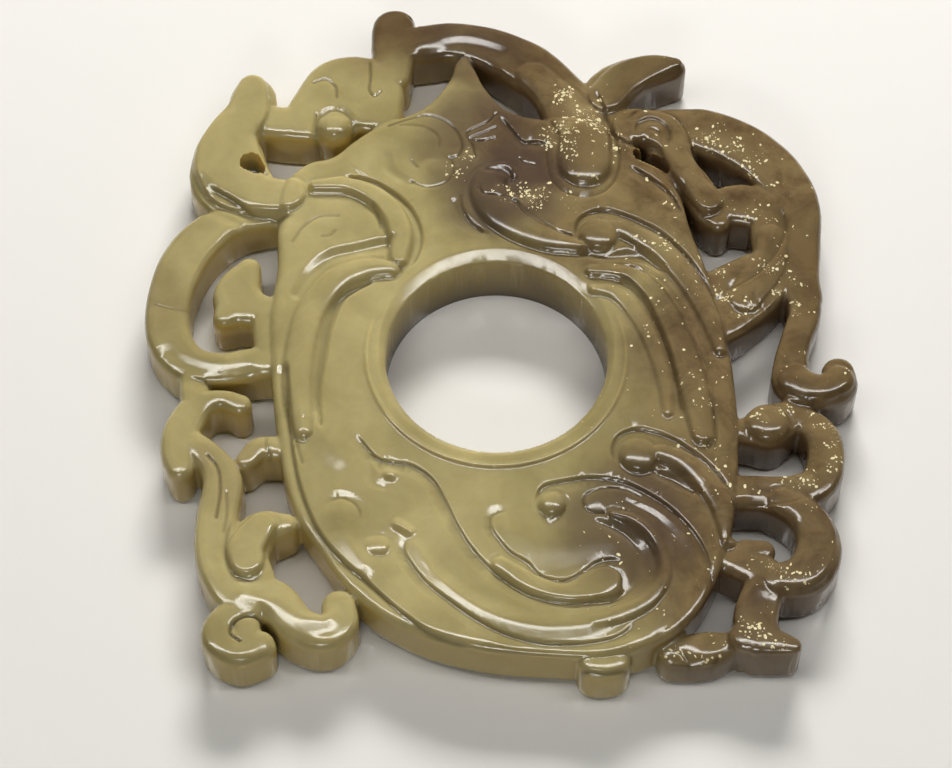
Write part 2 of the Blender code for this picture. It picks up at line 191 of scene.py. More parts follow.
# Lamps: place, width and depth in metres, watts, and the kind of shine that is left out
LIGHTS = {
    "top_light": ((0.0, -0.01, 0.5), 0.95, 0.085, 1.45, "gloss"),
    "strip_light": ((0.0, -0.01, 0.45), 0.86, 0.08, 2.5, "matt"),
    "front_light": ((-0.05, -0.42, 0.26), 0.16, 0.06, 0.45, None),
    "back_light": ((0.04, 0.40, 0.27), 0.24, 0.10, 2.95, "gloss"),
}
LAMP_WHITE = "#fffefb"
SURROUND_WHITE = "#e9e7e4"
SURROUND_STRENGTH = 0.03
FLOOR_WHITE = "#e2e0dc"

# Stains of the stone: the middle in the plan, reach and strength
BROWN_PATCHES = {
    "right side": ((31, 2), 27, 1),
    "right shoulder": ((24, 26), 24, 1),
    "crest": ((-10, 46), 14, 1),
    "arch": ((3, 39), 12, 1),
    "brow": ((5, 27), 15, 1),
    "lower right": ((26, -20), 22, 1),
    "lower foot": ((24, -34), 14, 0.9),
    "left hook": ((-36, 6), 8, 0.4),
    "left stem": ((-28, -14), 7, 0.3),
    "upper ball": ((10, 15), 10, 0.8),
}
DARK_PATCHES = {
    "crest": ((-9, 46), 12, 0.7),
    "arch": ((2, 40), 9, 0.55),
    "feather": ((16, 36), 9, 0.45),
    "arc side": ((32, 14), 9, 0.4),
    "hook": ((32, 0), 9, 0.3),
    "brow": ((3, 25), 7, 0.35),
}
PLUM_PATCHES = {
    "brow band": ((1, 21), 9, 0.75),
    "temple": ((-2, 28), 8, 0.5),
    # Round the spiral this is partly the stone's plum stain and partly painted shade in the valley beside
    # the ridge
    "spiral": ((13, -19), 9, 0.6),
    "arch": ((-3, 42), 9, 0.4),
    "lower curl": ((30, -20), 10, 0.2),
    "foot": ((27, -30), 7, 0.35),
    "right plate": ((17, 2), 8, 0.15),
}

# Clusters of mineral flecks: share of the full number, then strokes through x, y and half width
FLECK_CLUSTERS = {
    "snout ring": (1, [(5.8, 26.8, 0.7), (7.6, 28.9, 0.9), (9.7, 29.3, 0.9), (11.5, 27.5, 0.8),
        (11.4, 25, 0.6)]),
    "snout back": (0.8, [(7.4, 32.4, 0.9), (8.4, 30.4, 1.2), (10.4, 31.4, 0.8)]),
    "snout": (0.25, [(8.2, 27, 2), (9.2, 24, 2.2)]),
    "brow": (0.9, [(0.8, 19.2, 0.8), (2.6, 19.4, 0.9), (4.6, 19.9, 0.6)]),
    "brow right": (0.6, [(5.8, 19.2, 0.6), (7.6, 18.4, 0.6)]),
    "temple": (0.7, [(-3, 24.8, 0.4), (-2.4, 24, 0.4)]),
    "ear": (0.6, [(-4.7, 22.7, 0.4), (-4.4, 22.2, 0.3)]),
    "upper tail": (0.35, [(14.6, 14.4, 0.8), (16.4, 13.6, 1), (18, 11.4, 0.8)]),
    "arc top": (0.5, [(20.6, 28, 0.8), (23.4, 27, 1.1), (25.6, 25.4, 0.9), (27.6, 22.4, 0.6)]),
    "arc side": (0.35, [(25, 18.4, 0.6), (27.4, 17.6, 0.9), (28.6, 15.6, 0.6)]),
    "wing": (0.45, [(26.4, 12.2, 0.8), (28.6, 11, 1), (29.8, 9.6, 0.7)]),
    "wing foot": (0.8, [(28.6, 8.6, 0.7), (29.6, 6.4, 0.7)]),
    "wing root": (0.5, [(20.9, 11.6, 0.5), (23.2, 10.6, 0.6)]),
    "hatched wing": (0.4, [(22.6, 8.2, 0.6), (24.8, 6.4, 0.9), (26.8, 5.4, 0.6)]),
    "lower arc": (0.9, [(25.4, -5.6, 0.8), (27, -6.4, 1.1), (28.6, -5.8, 0.7)]),
    "lower arc side": (0.45, [(31.4, -6.4, 0.8), (33.2, -8.6, 0.8), (33.2, -11.6, 0.8)]),
    "lower arc foot": (0.8, [(28.6, -12.8, 0.5), (30.6, -13.6, 0.7)]),
    "plate right": (0.16, [(20.2, -4.6, 1.2), (21.4, -8.4, 1.4), (21.6, -12.2, 1)]),
    "low curl": (0.35, [(25.8, -22.6, 0.8), (28, -24.2, 1), (30.4, -25, 0.6)]),
    "foot": (0.4, [(24, -28.6, 0.7), (25.6, -30.6, 1), (27.8, -32.4, 0.8)]),
    "stump": (0.35, [(16.6, -32, 0.8), (19, -33, 1.2), (21.6, -32.2, 0.8)]),
}

# The plate's outline, clockwise from its tip under the arch
PLATE = [
    (-3.7, 38.4), (-5.3, 35), (-7.2, 32), (-9.2, 30.4), (-12, 29.2), (-15.2, 26.8), (-17.4, 24.7),
    (-20, 23.8), (-22.2, 21), (-22.7, 16), (-22.5, 10.5), (-23, 4.5), (-22.4, -3), (-21.4, -10),
    (-19.7, -17), (-16.8, -22), (-13.2, -26.8), (-8.5, -30.2), (-2.5, -32.3), (5, -33.1), (11.5, -33),
    (16, -31.3), (19.4, -28.2), (21.4, -24.6), (23.1, -19), (23.9, -12), (23.9, -4), (23, 4), (21.4, 11),
    (19.9, 16), (18.6, 21), (15, 26), (9, 29.5), (4, 30), (1, 31), (-1.4, 33.8), (-2.7, 36.6),
]

# Each limb is a stroke through points of x, y and half width
LIMBS = {
    "arch": [(-11.6, 35.8, 2.1), (-11, 39.6, 2.4), (-8, 40.4, 2.3), (-5, 40.8, 2.3), (-1, 39.8, 2.6),
        (3, 37.4, 3), (5.8, 34.4, 3), (7.8, 31, 3.4), (8.8, 27, 3.6)],
    "crest": [(-11.6, 39.5, 2.2), (-11.6, 42.2, 2.2), (-11.2, 42.6, 2.1)],
    "cheek": [(-20.8, 29.9, 2.2), (-19.2, 32.4, 2.7), (-17, 34.8, 3.3), (-13.8, 34.4, 3.4),
        (-12.8, 30.8, 2.5)],
    "cheek stud": [(-17.3, 28.6, 1.9), (-16, 31.2, 2.6), (-13.8, 31, 2.6)],
    "cheek bar": [(-26, 30, 2), (-22.8, 29.5, 2.1), (-20, 29.5, 2.3)],
    "left column": [(-26.3, 34.1, 1.7), (-26.1, 32.6, 2.5), (-26.6, 30, 2.7), (-28.2, 27.4, 2.9),
        (-28.3, 24.4, 3.9), (-27.6, 21.4, 4.2), (-25, 19.6, 3), (-21.5, 19.2, 2.6)],
    "great curl": [(-22.5, 18.2, 1.5), (-27, 17.3, 1.9), (-30.2, 15, 2.3), (-32.4, 11.4, 2.4),
        (-33.4, 6.8, 2.3), (-33, 2.4, 2.3), (-30.9, -0.4, 2.1), (-27.8, -1, 1.8), (-24.6, -0.4, 1.8),
        (-22, 0, 1.9)],
    "inner leaf": [(-25.4, 11, 1.2), (-26.3, 8.8, 2.2), (-26.2, 7, 2.6), (-24.2, 6, 1.9), (-22, 5.6, 1.9)],
    "inner leaf tip": [(-26.4, 6.6, 2.3), (-27.6, 5, 1.2)],
    "inner leaf neck": [(-23.8, 6, 1.4), (-23.4, 2.5, 1.2), (-23, -0.5, 1.4)],
    "left hook": [(-25.5, -5.3, 1.2), (-27.4, -4.6, 1.2), (-29.6, -5.4, 1.6), (-31, -8, 1.9),
        (-31.3, -10.6, 1.8), (-31, -12.6, 1.4)],
    "hook bridge": [(-30.4, -1.2, 1.6), (-30, -5, 1.5)],
    "left stem": [(-30.6, -9.4, 1.5), (-28.2, -11.3, 1.6), (-26.7, -14, 2), (-27, -18, 2.1),
        (-26.8, -22, 2.2), (-25.6, -25.2, 2.2), (-23.6, -27.6, 2.2)],
    "stem tongue": [(-20.3, -18.8, 1.2), (-22.8, -19.4, 2), (-24, -22.4, 2.3), (-23, -25.4, 2.2)],
    "stem arm": [(-20.6, -10.3, 1.3), (-23.2, -10.3, 1.3), (-24.6, -11.8, 1)],
    "foot lobe": [(-24, -26.6, 2), (-21.2, -27, 2.2), (-18.8, -29.6, 2), (-16.2, -30.6, 1.9),
        (-14.7, -29.4, 1.8), (-14.8, -27.6, 1.7)],
    "spiral": [(-23.4, -27.6, 1.6), (-25.8, -29.4, 1.6), (-26, -31.2, 1.8), (-24.2, -32.4, 1.8),
        (-22.2, -31.9, 1.6)],
    "spiral eye": [(-23.6, -29.6, 1.4), (-23.4, -31, 1.4)],
    "feather": [(10.2, 31.6, 2.4), (12, 34.4, 2.8), (14.6, 36.4, 2.3), (17.2, 37.2, 1.7),
        (18.8, 37.2, 1.1)],
    "shoulder curl": [(13, 29, 2.6), (15.4, 29.4, 2.6), (17.4, 28.4, 2.6), (17.8, 25, 1.9),
        (19, 22.4, 1.5)],
    "right arc": [(16.5, 30.2, 1.9), (20.5, 29.3, 2.8), (25, 27.4, 3), (28.6, 24.2, 2.9), (30.8, 20, 2.6),
        (31.1, 15, 2.2), (30.8, 11, 2.2), (31.2, 8.4, 2)],
    "right branch": [(18.2, 27.6, 1.9), (19.2, 24.6, 1.7), (20.7, 21.6, 1.9), (22.2, 18.8, 1.9),
        (22.8, 17.4, 1.3)],
    "right shelf": [(22.4, 19.2, 2), (25.4, 19.6, 2.6), (28.6, 18.6, 2.4)],
    "right wing": [(28.6, 17, 2.6), (28.6, 12.6, 2.6), (26.6, 8.8, 2.6), (24, 6, 2.4), (22.4, 4.6, 2.2)],
    "wing root": [(28, 12.2, 2.2), (25, 10.6, 2.3), (21.8, 9, 2)],
    "right hook": [(31.2, 9.4, 1.9), (31.2, 6.2, 1.7), (30.2, 3, 1.6), (29.6, 0.2, 1.8), (29.9, -2.2, 2.2),
        (32.2, -3, 1.9), (34.2, -2.2, 1.9), (34.3, -0.7, 1.7)],
    "lower arc": [(26.9, -7.1, 2.5), (30, -5.8, 1.6), (32.2, -7.8, 1.8), (32.6, -10.8, 1.9),
        (31.5, -13.6, 1.9), (28.5, -14.6, 1.9), (24.8, -14.6, 1.9), (22.5, -14.6, 1.9)],
    "hook link": [(30.2, -2.8, 1.8), (30.2, -6, 1.6)],
    "ball root": [(26.4, -7.3, 2), (23, -7.9, 1)],
    "low curl": [(25, -14.8, 1.3), (28, -15.6, 1.7), (30.6, -17.6, 2), (31.4, -20.6, 2.3),
        (30.2, -23.4, 2.3), (27.4, -24.2, 1.9), (24.8, -22.8, 2), (22.6, -21.8, 1.9)],
    "low curl eye": [(24.4, -21.4, 1.6), (26, -21.2, 1.2)],
    "right foot": [(26, -25, 2), (25.1, -28, 2.2), (25.2, -30.2, 2.2)],
    "foot toe": [(24, -30.4, 1.7), (26.2, -30.8, 1.6), (28.4, -31.4, 0.9)],
    "peg": [(9.5, -32, 1.4), (9.5, -33.5, 1.4), (11.6, -33.3, 1.4), (11.6, -32, 1.4)],
}

# The broken lower corner stands lower than the limbs
STUMP = [(17.2, -31.6, 1.6), (20.2, -31.2, 1.9), (22, -30.8, 1.5), (23.4, -30.2, 1.2)]

# Carved bands: share of the full relief, the form of their back, then a stroke as above
BANDS = {
    "left feather": (0.95, "round", [(-10.8, 9.9, 0.9), (-13.5, 9.9, 1.3), (-16.6, 8.4, 1.5),
        (-18.7, 5, 1.5), (-19.6, 0.5, 1.5), (-19.7, -4.5, 1.4), (-18.9, -9, 1)]),
    "shoulder ring": (0.95, "flat", [(-19, 20.4, 0.7), (-15.6, 20.6, 1), (-12.8, 19.3, 1.2),
        (-10.8, 16.9, 1.3), (-9.9, 14, 1.3), (-10, 11.2, 1)]),
    "ear": (0.35, "soft", [(-9.2, 26.6, 2.6), (-7, 26.4, 2.9)]),
    "ear drop": (0.35, "soft", [(-7, 22.8, 1.8), (-6.8, 22.6, 1.8)]),
    "brow band": (1.1, "round", [(0.4, 22.6, 1.2), (-0.9, 21.4, 1.7), (-0.9, 19.3, 1.9), (0.4, 17, 1.9),
        (2.8, 15, 1.7), (5.6, 13.6, 1.3), (8.3, 12.9, 0.8)]),
    "neck": (0.7, "round", [(3.6, 35.4, 1.8), (6.8, 31.4, 2.3), (8.8, 28.4, 2.6)]),
    "snout": (1.3, "round", [(9, 26.8, 2.7), (9, 23.7, 2.7)]),
    "upper ball": (1.1, "round", [(10.2, 14.7, 1.9), (10.4, 14.6, 1.9)]),
    "upper tail": (0.8, "round", [(12, 15.6, 0.9), (14.4, 14.6, 1.2), (17, 12.6, 1.4), (19.4, 9.4, 1.4),
        (21.3, 5.4, 1.2), (22.4, 1, 0.7)]),
    "right band": (0.7, "flat", [(9.6, 10, 0.7), (12.4, 10, 1), (15.2, 8.3, 1.3), (17.2, 4.9, 1.5),
        (18.9, 0.2, 1.6), (19.9, -4.6, 1.6), (20.4, -9, 1.1)]),
    "right rib": (0.5, "round", [(9.8, 7.8, 0.5), (12.2, 7.2, 0.8), (14.2, 4.6, 0.9), (15.8, 1, 0.9),
        (16.8, -3, 0.8), (17, -6.6, 0.5)]),
    "lower ball": (1.1, "round", [(13.9, -11.5, 1.8), (14.1, -11.6, 1.8)]),
    "lower tail": (0.8, "round", [(16, -11.2, 0.9), (18.6, -12.1, 1.2), (20.8, -14.3, 1.3),
        (22.2, -17.2, 1.2), (22.6, -20.4, 0.8)]),
    "crescent": (0.5, "soft", [(-7.6, -21.7, 1.1), (-6.2, -24, 1.3), (-4.2, -26.2, 1.4),
        (-1.7, -28.1, 1.6), (1.3, -29.5, 1.8), (5, -30.1, 2), (9, -29.9, 1.8), (12, -28.9, 1.3)]),
    "crescent tail": (0.6, "round", [(9.6, -29.6, 0.8), (12, -28.7, 1), (14.6, -27.2, 0.9),
        (16.2, -24.9, 0.7), (16.2, -22.4, 0.6), (15.2, -20.2, 0.6), (13.4, -18.6, 0.6), (11.4, -18, 0.4)]),
    "cloud": (0.3, "soft", [(1.6, -20, 2.1), (4.6, -21.1, 3.5), (7.6, -21, 3.7), (10.8, -21, 2.4)]),
    "cloud tail": (0.5, "flat", [(0.6, -23.6, 0.8), (3.8, -25.6, 1), (7, -26.5, 1), (10.4, -25.4, 1.9)]),
    "cloud ball": (1.1, "round", [(5.5, -17.1, 1.3), (5.6, -17.2, 1.3)]),
    "left tongue": (0.35, "soft", [(-17.6, -8.6, 1.6), (-16.2, -10.8, 2.2), (-15.2, -12.2, 1.8)]),
    "left lobe": (0.6, "soft", [(-14.6, -18.6, 2.4), (-14.2, -20.8, 2.3), (-12.4, -23.8, 1.8)]),
    "left bead": (0.5, "round", [(-11.7, -21.7, 1), (-11.1, -21.7, 1)]),
    "left point": (0.5, "soft", [(-9.4, -19.4, 0.9), (-8.2, -20.2, 0.8)]),
    "sweep knob": (0.5, "soft", [(-10.4, -14, 0.9), (-10.1, -14.1, 0.9)]),
    "stud": (1, "round", [(-17.4, 28.4, 1.6), (-17.2, 28.3, 1.6)]),
    "column": (0.7, "flat", [(-26.2, 33.6, 1.6), (-26.6, 30.6, 2.3), (-28, 27.6, 2.7), (-28.3, 24.2, 3.6),
        (-27, 21.6, 3.6), (-24.6, 20, 2.4), (-22, 19.6, 2.1)]),
    "feather": (0.5, "flat", [(11.4, 33, 2), (13.4, 35.4, 2), (16, 36.8, 1.7), (18.6, 37.4, 0.9)]),
    "shoulder curl": (0.8, "flat", [(14, 28.8, 2.2), (16.4, 28.9, 2.4), (18.2, 27.2, 1.9), (19, 24.6, 1.6),
        (20.4, 21.8, 1.6), (21.8, 19.4, 1.5)]),
    "lower arc ball": (1, "round", [(26.8, -7, 2.1), (27, -7.2, 2.1)]),
    "tongue face": (0.8, "flat", [(-22.6, -19.4, 1.5), (-23.9, -21.6, 1.8), (-23.8, -23.2, 1.7)]),
    "wing face": (0.6, "round", [(28.2, 15, 1.6), (27.6, 11.6, 1.8), (25.2, 7.6, 1.7)]),
    "hook end": (0.7, "round", [(29.9, -2, 1.8), (32.2, -2.8, 1.7), (34.2, -2, 1.6)]),
    "foot lobe": (0.5, "soft", [(-23.8, -26.8, 1.9), (-20.8, -27.6, 2.1), (-18.2, -29.4, 2),
        (-15.8, -29.2, 1.9)]),
    "low curl": (0.5, "round", [(28, -15.8, 1.4), (30.6, -17.6, 1.7), (31.2, -20.6, 1.9), (30, -23.4, 1.9),
        (27.4, -24.2, 1.6)]),
}

# Carved grooves: share of the full depth, then a stroke as above
GROOVES = {
    "feather groove": (1, [(-13, 8.4, 0.5), (-15.6, 6.6, 0.7), (-16.9, 3.2, 0.7), (-17.4, -0.8, 0.7),
        (-17.7, -4.6, 0.6), (-17.2, -8.4, 0.4)]),
    "stud slot": (1, [(-19.3, 30.2, 0.4), (-19.3, 28, 0.6), (-18.9, 26.4, 0.5)]),
    "column slot": (0.9, [(-25.4, 23.2, 0.5), (-24.2, 22.2, 0.6)]),
}

# Broad soft hollows: depth in millimetres, then a stroke as above
HOLLOWS = {
    "wave": (0.6, [(-20.3, 7.2, 1), (-19, 9.6, 1.3), (-17, 11.6, 1.3), (-14.5, 12.4, 1.2), (-12, 13, 1.3),
        (-10.8, 13.6, 0.8)]),
    "spiral valley": (0.75, [(10, -18.9, 0.8), (12.4, -19.8, 1.4), (14, -21.8, 1.9), (14, -24.6, 2),
        (12.4, -26.6, 1.5), (10, -27.7, 0.8)]),
    "spiral ribbon": (0.35, [(12.8, -16.6, 0.8), (15.9, -18.4, 1.5), (18.2, -21.9, 1.9), (18.6, -25.4, 2),
        (17.2, -28.8, 1.7), (15.6, -31, 1)]),
    "under brow": (0.45, [(-4.6, 18.6, 0.8), (-4, 16.8, 1.2), (-2.6, 15.4, 1.2), (-1.2, 14.6, 0.7)]),
    "brow eye": (0.6, [(-1.3, 22.6, 0.7), (0.6, 22.4, 1), (1.6, 21.6, 0.7)]),
    "under upper ball": (0.5, [(8.8, 12.2, 0.8), (11.5, 11.9, 1.1), (14.5, 12, 1.2), (16.6, 10.6, 0.8)]),
    "under lower ball": (0.5, [(15.8, -13.4, 0.7), (17.4, -14, 1.1), (19.2, -15.2, 0.8)]),
    "sweep start": (0.2, [(-12.2, -12.6, 0.7), (-12, -14.6, 0.9), (-10.8, -15.4, 0.6)]),
    "ear rim": (0.25, [(-11.6, 24.6, 0.7), (-11.2, 22.6, 0.9), (-9.2, 21, 0.8)]),
}

# Slanting cuts: share of the full slope, reach in millimetres, then points of x and y. Each is steep on the
# right as one travels along it and rises over the reach on the left
SLANTS = {
    "ring": (1, 1.3, [(-9, 10), (-8.2, 11.6), (-7.8, 13.6), (-8.1, 15.6), (-9, 17.7), (-10.6, 19.6),
        (-12.6, 21.1), (-14.6, 21.7), (-16.4, 21.5)]),
    "snout": (1, 1, [(5, 27.4), (5.2, 23.6), (5.8, 21.3), (7.2, 20), (9, 19.6), (10.8, 20.2), (12.1, 22),
        (12.6, 24.6), (12.2, 27), (11.5, 29.6), (10.8, 31.8), (10, 33.8)]),
    "upper ball": (1, 1.3, [(22.6, 5), (21.3, 9), (19.5, 12), (17.2, 14.8), (15, 16.3), (12.6, 17.4),
        (10.8, 17.8), (9, 17.2), (8.1, 15.9), (8, 14.2)]),
    "lower ball": (1, 1.3, [(23, -15.3), (21.5, -13), (19.5, -11), (17.5, -9.6), (15.5, -8.8),
        (13.8, -8.6), (12.2, -9.3), (11.5, -10.8), (11.7, -12.6)]),
    "great spiral": (1, 1.3, [(21, -26), (20.8, -24), (20, -21.3), (18.5, -18.8), (16.5, -16.8),
        (14, -15.2), (12, -14.4), (9.5, -14.1), (7, -14.5), (4.7, -15.2), (3.9, -16.9)]),
    "cloud edge": (1, 0.9, [(12.6, -23.3), (11.3, -22.9), (9.8, -23.3), (8.4, -24.4), (7, -25.2),
        (5.6, -25.2), (4.2, -24.6), (3.2, -23.4), (1.6, -22.4), (0.4, -21), (-0.4, -19.6), (-0.2, -18.3),
        (1.4, -17.7)]),
    "sweep": (1, 1.2, [(12.8, -24.2), (12.6, -25.6), (11.5, -26.8), (9.8, -27.3), (7.5, -27.6), (5, -27.3),
        (2.5, -26.3), (0, -24.4), (-2, -22.2), (-3.6, -19.6), (-4.8, -17), (-6.2, -14.5), (-8.2, -13),
        (-10.4, -12.6), (-11.8, -12), (-13.9, -9.3)]),
    "crescent": (1, 1.1, [(13.6, -29.4), (12, -31), (9, -31.9), (5, -32), (1.5, -31.2), (-1.5, -29.6),
        (-4.2, -27.6), (-6.6, -25.5), (-8.2, -23.3), (-8.8, -21.8), (-8.2, -20.8)]),
    "hook curl": (1, 0.9, [(-16.6, -17.2), (-15.2, -16.5), (-13.9, -16.9), (-13.1, -17.9),
        (-12.9, -19.3)]),
    "border": (1, 1.8, [(-2, -32.2), (-5.7, -31), (-8, -29.4), (-10, -27.7), (-12.3, -25.4),
        (-14.6, -23.3), (-17, -20.2), (-18.8, -16), (-19.8, -12), (-20.5, -7), (-21, -1)]),
    "column foot": (1, 1.2, [(-20.8, 16.9), (-23, 17), (-25.2, 17.4), (-28, 19.2), (-30.2, 20.6)]),
    "shoulder rim": (1, 0.9, [(22.6, 21), (21, 24), (20, 27.4), (18.6, 30.2), (16.8, 31.2), (14.8, 30.9),
        (13.4, 29.2)]),
    "curl arcs": (1, 0.7, [(17.4, 25.6), (17.9, 27.4), (17.2, 29), (15.8, 29.6), (14.6, 28.8),
        (14.2, 27.4)]),
    "curl arc": (0.9, 0.5, [(16.8, 26.6), (16.8, 27.8), (16, 28.3), (15.2, 27.7)]),
    "tongue": (1, 0.8, [(-22, -24.4), (-23.2, -25.3), (-24.8, -24.6), (-25.8, -22.8), (-25.9, -20.6),
        (-25.4, -18.4)]),
    "brow block": (1, 0.9, [(5.6, 25.2), (4.9, 26.2), (3.8, 26.5), (2.5, 26.5), (1.2, 28.2),
        (-0.2, 30.2)]),
    "right ridge": (1, 1.2, [(19.2, 17.4), (18, 19.8), (16.5, 21.5), (15, 22.7), (13.4, 23.7)]),
    "inner arc": (0.9, 1, [(22.6, 8.4), (25, 9.3), (27, 10.9), (28.5, 13), (29.4, 15.2), (29.6, 17.2),
        (29.2, 19.2)]),
    "stud ring": (1, 0.7, [(-19, 27), (-19.2, 29), (-18.4, 30.4), (-17, 30.7), (-15.7, 29.8),
        (-15.4, 28.2), (-15.9, 26.8)]),
    "stem bridge": (1, 1, [(-22.6, -2.4), (-25.2, -2.7), (-28, -2.9), (-31, -2.3)]),
    "hook seat": (1, 0.9, [(33.6, -5.2), (31.6, -5), (29.6, -4.6), (28.4, -4)]),
    "twin outer": (0.9, 1, [(21.4, -11.4), (21.7, -8), (21.2, -4.8), (20.6, -1.6), (19.4, 2.4), (18, 5.7),
        (16.6, 8), (15, 9.9), (13, 11), (10.6, 11)]),
    "twin inner": (0.9, 0.9, [(18.4, -7), (17.9, -3), (17.1, 1), (16, 4.2), (15, 6.6), (13.4, 8.7),
        (11.6, 9.4)]),
    "block facet left": (1, 1.6, [(17.4, -31.2), (18.6, -33), (18, -34.8)]),
    "block facet right": (1, 1.4, [(22.2, -31.6), (20.8, -33), (20.2, -34.8)]),
    "low arc": (0.9, 0.9, [(22.6, -16.6), (25.4, -16.2), (28.4, -16.2), (30.4, -15.4)]),
}

# Edges from which the face falls away to the left: drop and reach in millimetres, then points of x and y
FALLS = {
    "arch back": (0.46, 1.6, [(2, 39.2), (0, 40.3), (-2, 41), (-4, 41.3), (-6, 41), (-8, 40.1),
        (-10, 39.6)]),
    "feather back": (0.52, 2, [(19.4, 37), (17.4, 35.9), (15.4, 34.8), (14.2, 33.4), (13.4, 31.6)]),
    "column rim": (0.32, 1.3, [(-21.4, 18.4), (-24, 18.4), (-26.4, 19.2), (-28.8, 20.6), (-31, 23)]),
    "great curl foot": (0.29, 1.4, [(-23.4, -0.2), (-25.4, -0.4), (-28, -0.6), (-31, 0.4), (-32.8, 2.4)]),
    "foot lobe": (0.28, 1.7, [(-13.4, -30.2), (-15, -31.2), (-17.2, -31), (-19.2, -30.4), (-21.2, -29.6)]),
    "foot scroll": (0.2, 1.2, [(-21.6, -32.6), (-23.6, -33), (-25.6, -32.8), (-27.2, -31.6)]),
    "hook foot": (0.27, 1.3, [(35.2, -1.8), (33.8, -3.4), (31.4, -4.2), (29.2, -3.6)]),
    "low curl foot": (0.25, 1.5, [(32, -22.8), (30.2, -24.8), (27.6, -25.5), (25, -25)]),
    "lower arc foot": (0.23, 1.2, [(30.6, -12), (27.6, -13), (24.4, -13)]),
    "stump": (0.3, 1.8, [(22.4, -31.6), (20.6, -31.6), (18, -31.4), (15.6, -32)]),
    "peg": (1.5, 2, [(12.9, -34.1), (10.4, -34.3), (8, -34.1)]),
}

# Blind holes drilled beside the limbs: strokes as above
DRILLED = {
    "column pit": [(-25.8, 23.5, 1.1), (-25.1, 22.9, 0.8)],
    "shoulder pit": [(15, 25.2, 0.9), (16.4, 24.4, 0.8), (17.3, 23.6, 0.5)],
}

# Incised lines: share of the full depth, then points of x and y
LINES = {
    "left stem": (1, [(-28.3, -11.5), (-27.2, -13), (-26.8, -15.5), (-27, -18.5)]),
    "left stem side": (0.6, [(-26.2, -15.6), (-26, -18), (-26.2, -20)]),
    "crest hook": (0.9, [(-9.8, 43.5), (-9.2, 42.9), (-9, 42.2)]),
    "cheek line": (0.9, [(-13.8, 37), (-13.7, 35), (-13.8, 33.4), (-13.2, 32.6), (-12.6, 33.2)]),
    "cheek arc": (0.8, [(-19.8, 34.3), (-18.5, 34.8), (-17.4, 33.8), (-17.2, 32.4)]),
    "ear outline": (0.9, [(-11.6, 28.4), (-9.6, 29.3), (-7.6, 29.8), (-5.6, 29.1), (-4.3, 27.5),
        (-3.8, 25.8), (-4.3, 24.6), (-5.2, 24.3)]),
    "ear coil": (0.5, [(-10.4, 28.5), (-8, 28.3), (-6.4, 27), (-6.2, 25.6)]),
    "ear coil end": (0.6, [(-9.1, 24), (-8.7, 23.4), (-8.4, 23.1)]),
    "ear drop rim": (0.7, [(-4.9, 24.2), (-4.7, 22.4), (-5.6, 21), (-7.4, 20.5), (-9, 21.2)]),
    "temple": (0.9, [(-0.3, 30.2), (-1.2, 29), (-3.3, 27.6), (-2.7, 25.9), (-2.4, 24.4)]),
    "temple inner": (0.9, [(-0.3, 28.4), (-1.6, 27.6), (-2.9, 26.9), (-1.8, 26.6), (-0.4, 27)]),
    "brow tick": (0.8, [(2.1, 24.5), (2.8, 23.8), (3.8, 23.6)]),
    "brow edge": (0.8, [(-2, 20), (-1.3, 19), (1.7, 18.9), (2.4, 17.4), (4, 15.9), (6, 14.9),
        (7.6, 14.5)]),
    "brow side": (0.7, [(-3.9, 19.4), (-3.7, 17.8), (-3, 16.2), (-1.6, 14.9)]),
    "spiral head": (0.9, [(10.6, -17.9), (9.2, -17.8), (8.6, -16.9), (9, -15.9), (10.4, -15.2),
        (12.4, -15.1), (14.2, -15.9)]),
    "tail tip": (0.7, [(9.6, -23.9), (11.2, -23.7), (12.2, -24.5), (12.3, -25.8)]),
    "ring inside": (0.6, [(-12.9, 18), (-12.3, 16.6), (-12.1, 15.2)]),
    "shoulder crease": (0.5, [(-21, 13.6), (-20, 15.4), (-18.4, 16.7), (-16.4, 16.8)]),
    "shoulder tick": (0.5, [(-18, 14.2), (-17.2, 14.3), (-16.7, 14.9)]),
    "stem root": (0.6, [(-22.4, -8.4), (-22.6, -10), (-22, -11.9)]),
    "left edge": (0.6, [(-20.8, -2), (-20.3, -6), (-19.9, -9), (-18.9, -12.6)]),
    "peg line": (1, [(8.4, -34.3), (10.4, -34.6), (12.6, -34.2)]),
    "wing hatch low": (0.25, [(22.8, 6.2), (24, 4.4)]),
    "wing hatch": (0.25, [(23.8, 6.9), (25, 5)]),
    "wing hatch high": (0.25, [(24.8, 7.5), (26, 5.6)]),
    "wing hatch top": (0.25, [(25.8, 8), (27, 6.3)]),
    "curl face": (0.4, [(-34.6, 6), (-32.4, 5.4), (-31, 5.6)]),
    "wing line": (0.6, [(29.6, -13.2), (27, -12), (24.6, -12.4)]),
    "foot crease": (0.5, [(-26.6, -27.6), (-27.4, -28.4), (-28, -29.6)]),
    "foot scroll": (1.4, [(-24, -31.8), (-25, -30.9), (-24.6, -29.7), (-23.2, -29.1), (-21.6, -29.6),
        (-20.6, -30.8), (-20.2, -32.2)]),
}


def smooth_path(points, pieces=6):
    """A Catmull-Rom curve through the points, with every value of a point carried along."""
    knots = np.array(points, float)
    knots = np.vstack([2 * knots[0] - knots[1], knots, 2 * knots[-1] - knots[-2]])
    path = []
    for before, start, end, after in zip(knots, knots[1:], knots[2:], knots[3:]):
        for t in np.arange(pieces) / pieces:
            bend = 2 * before - 5 * start + 4 * end - after
            turn = 3 * start - 3 * end + after - before
            path.append(start + 0.5 * ((end - before) * t + bend * t**2 + turn * t**3))
    path.append(knots[-2])
    return np.array(path)


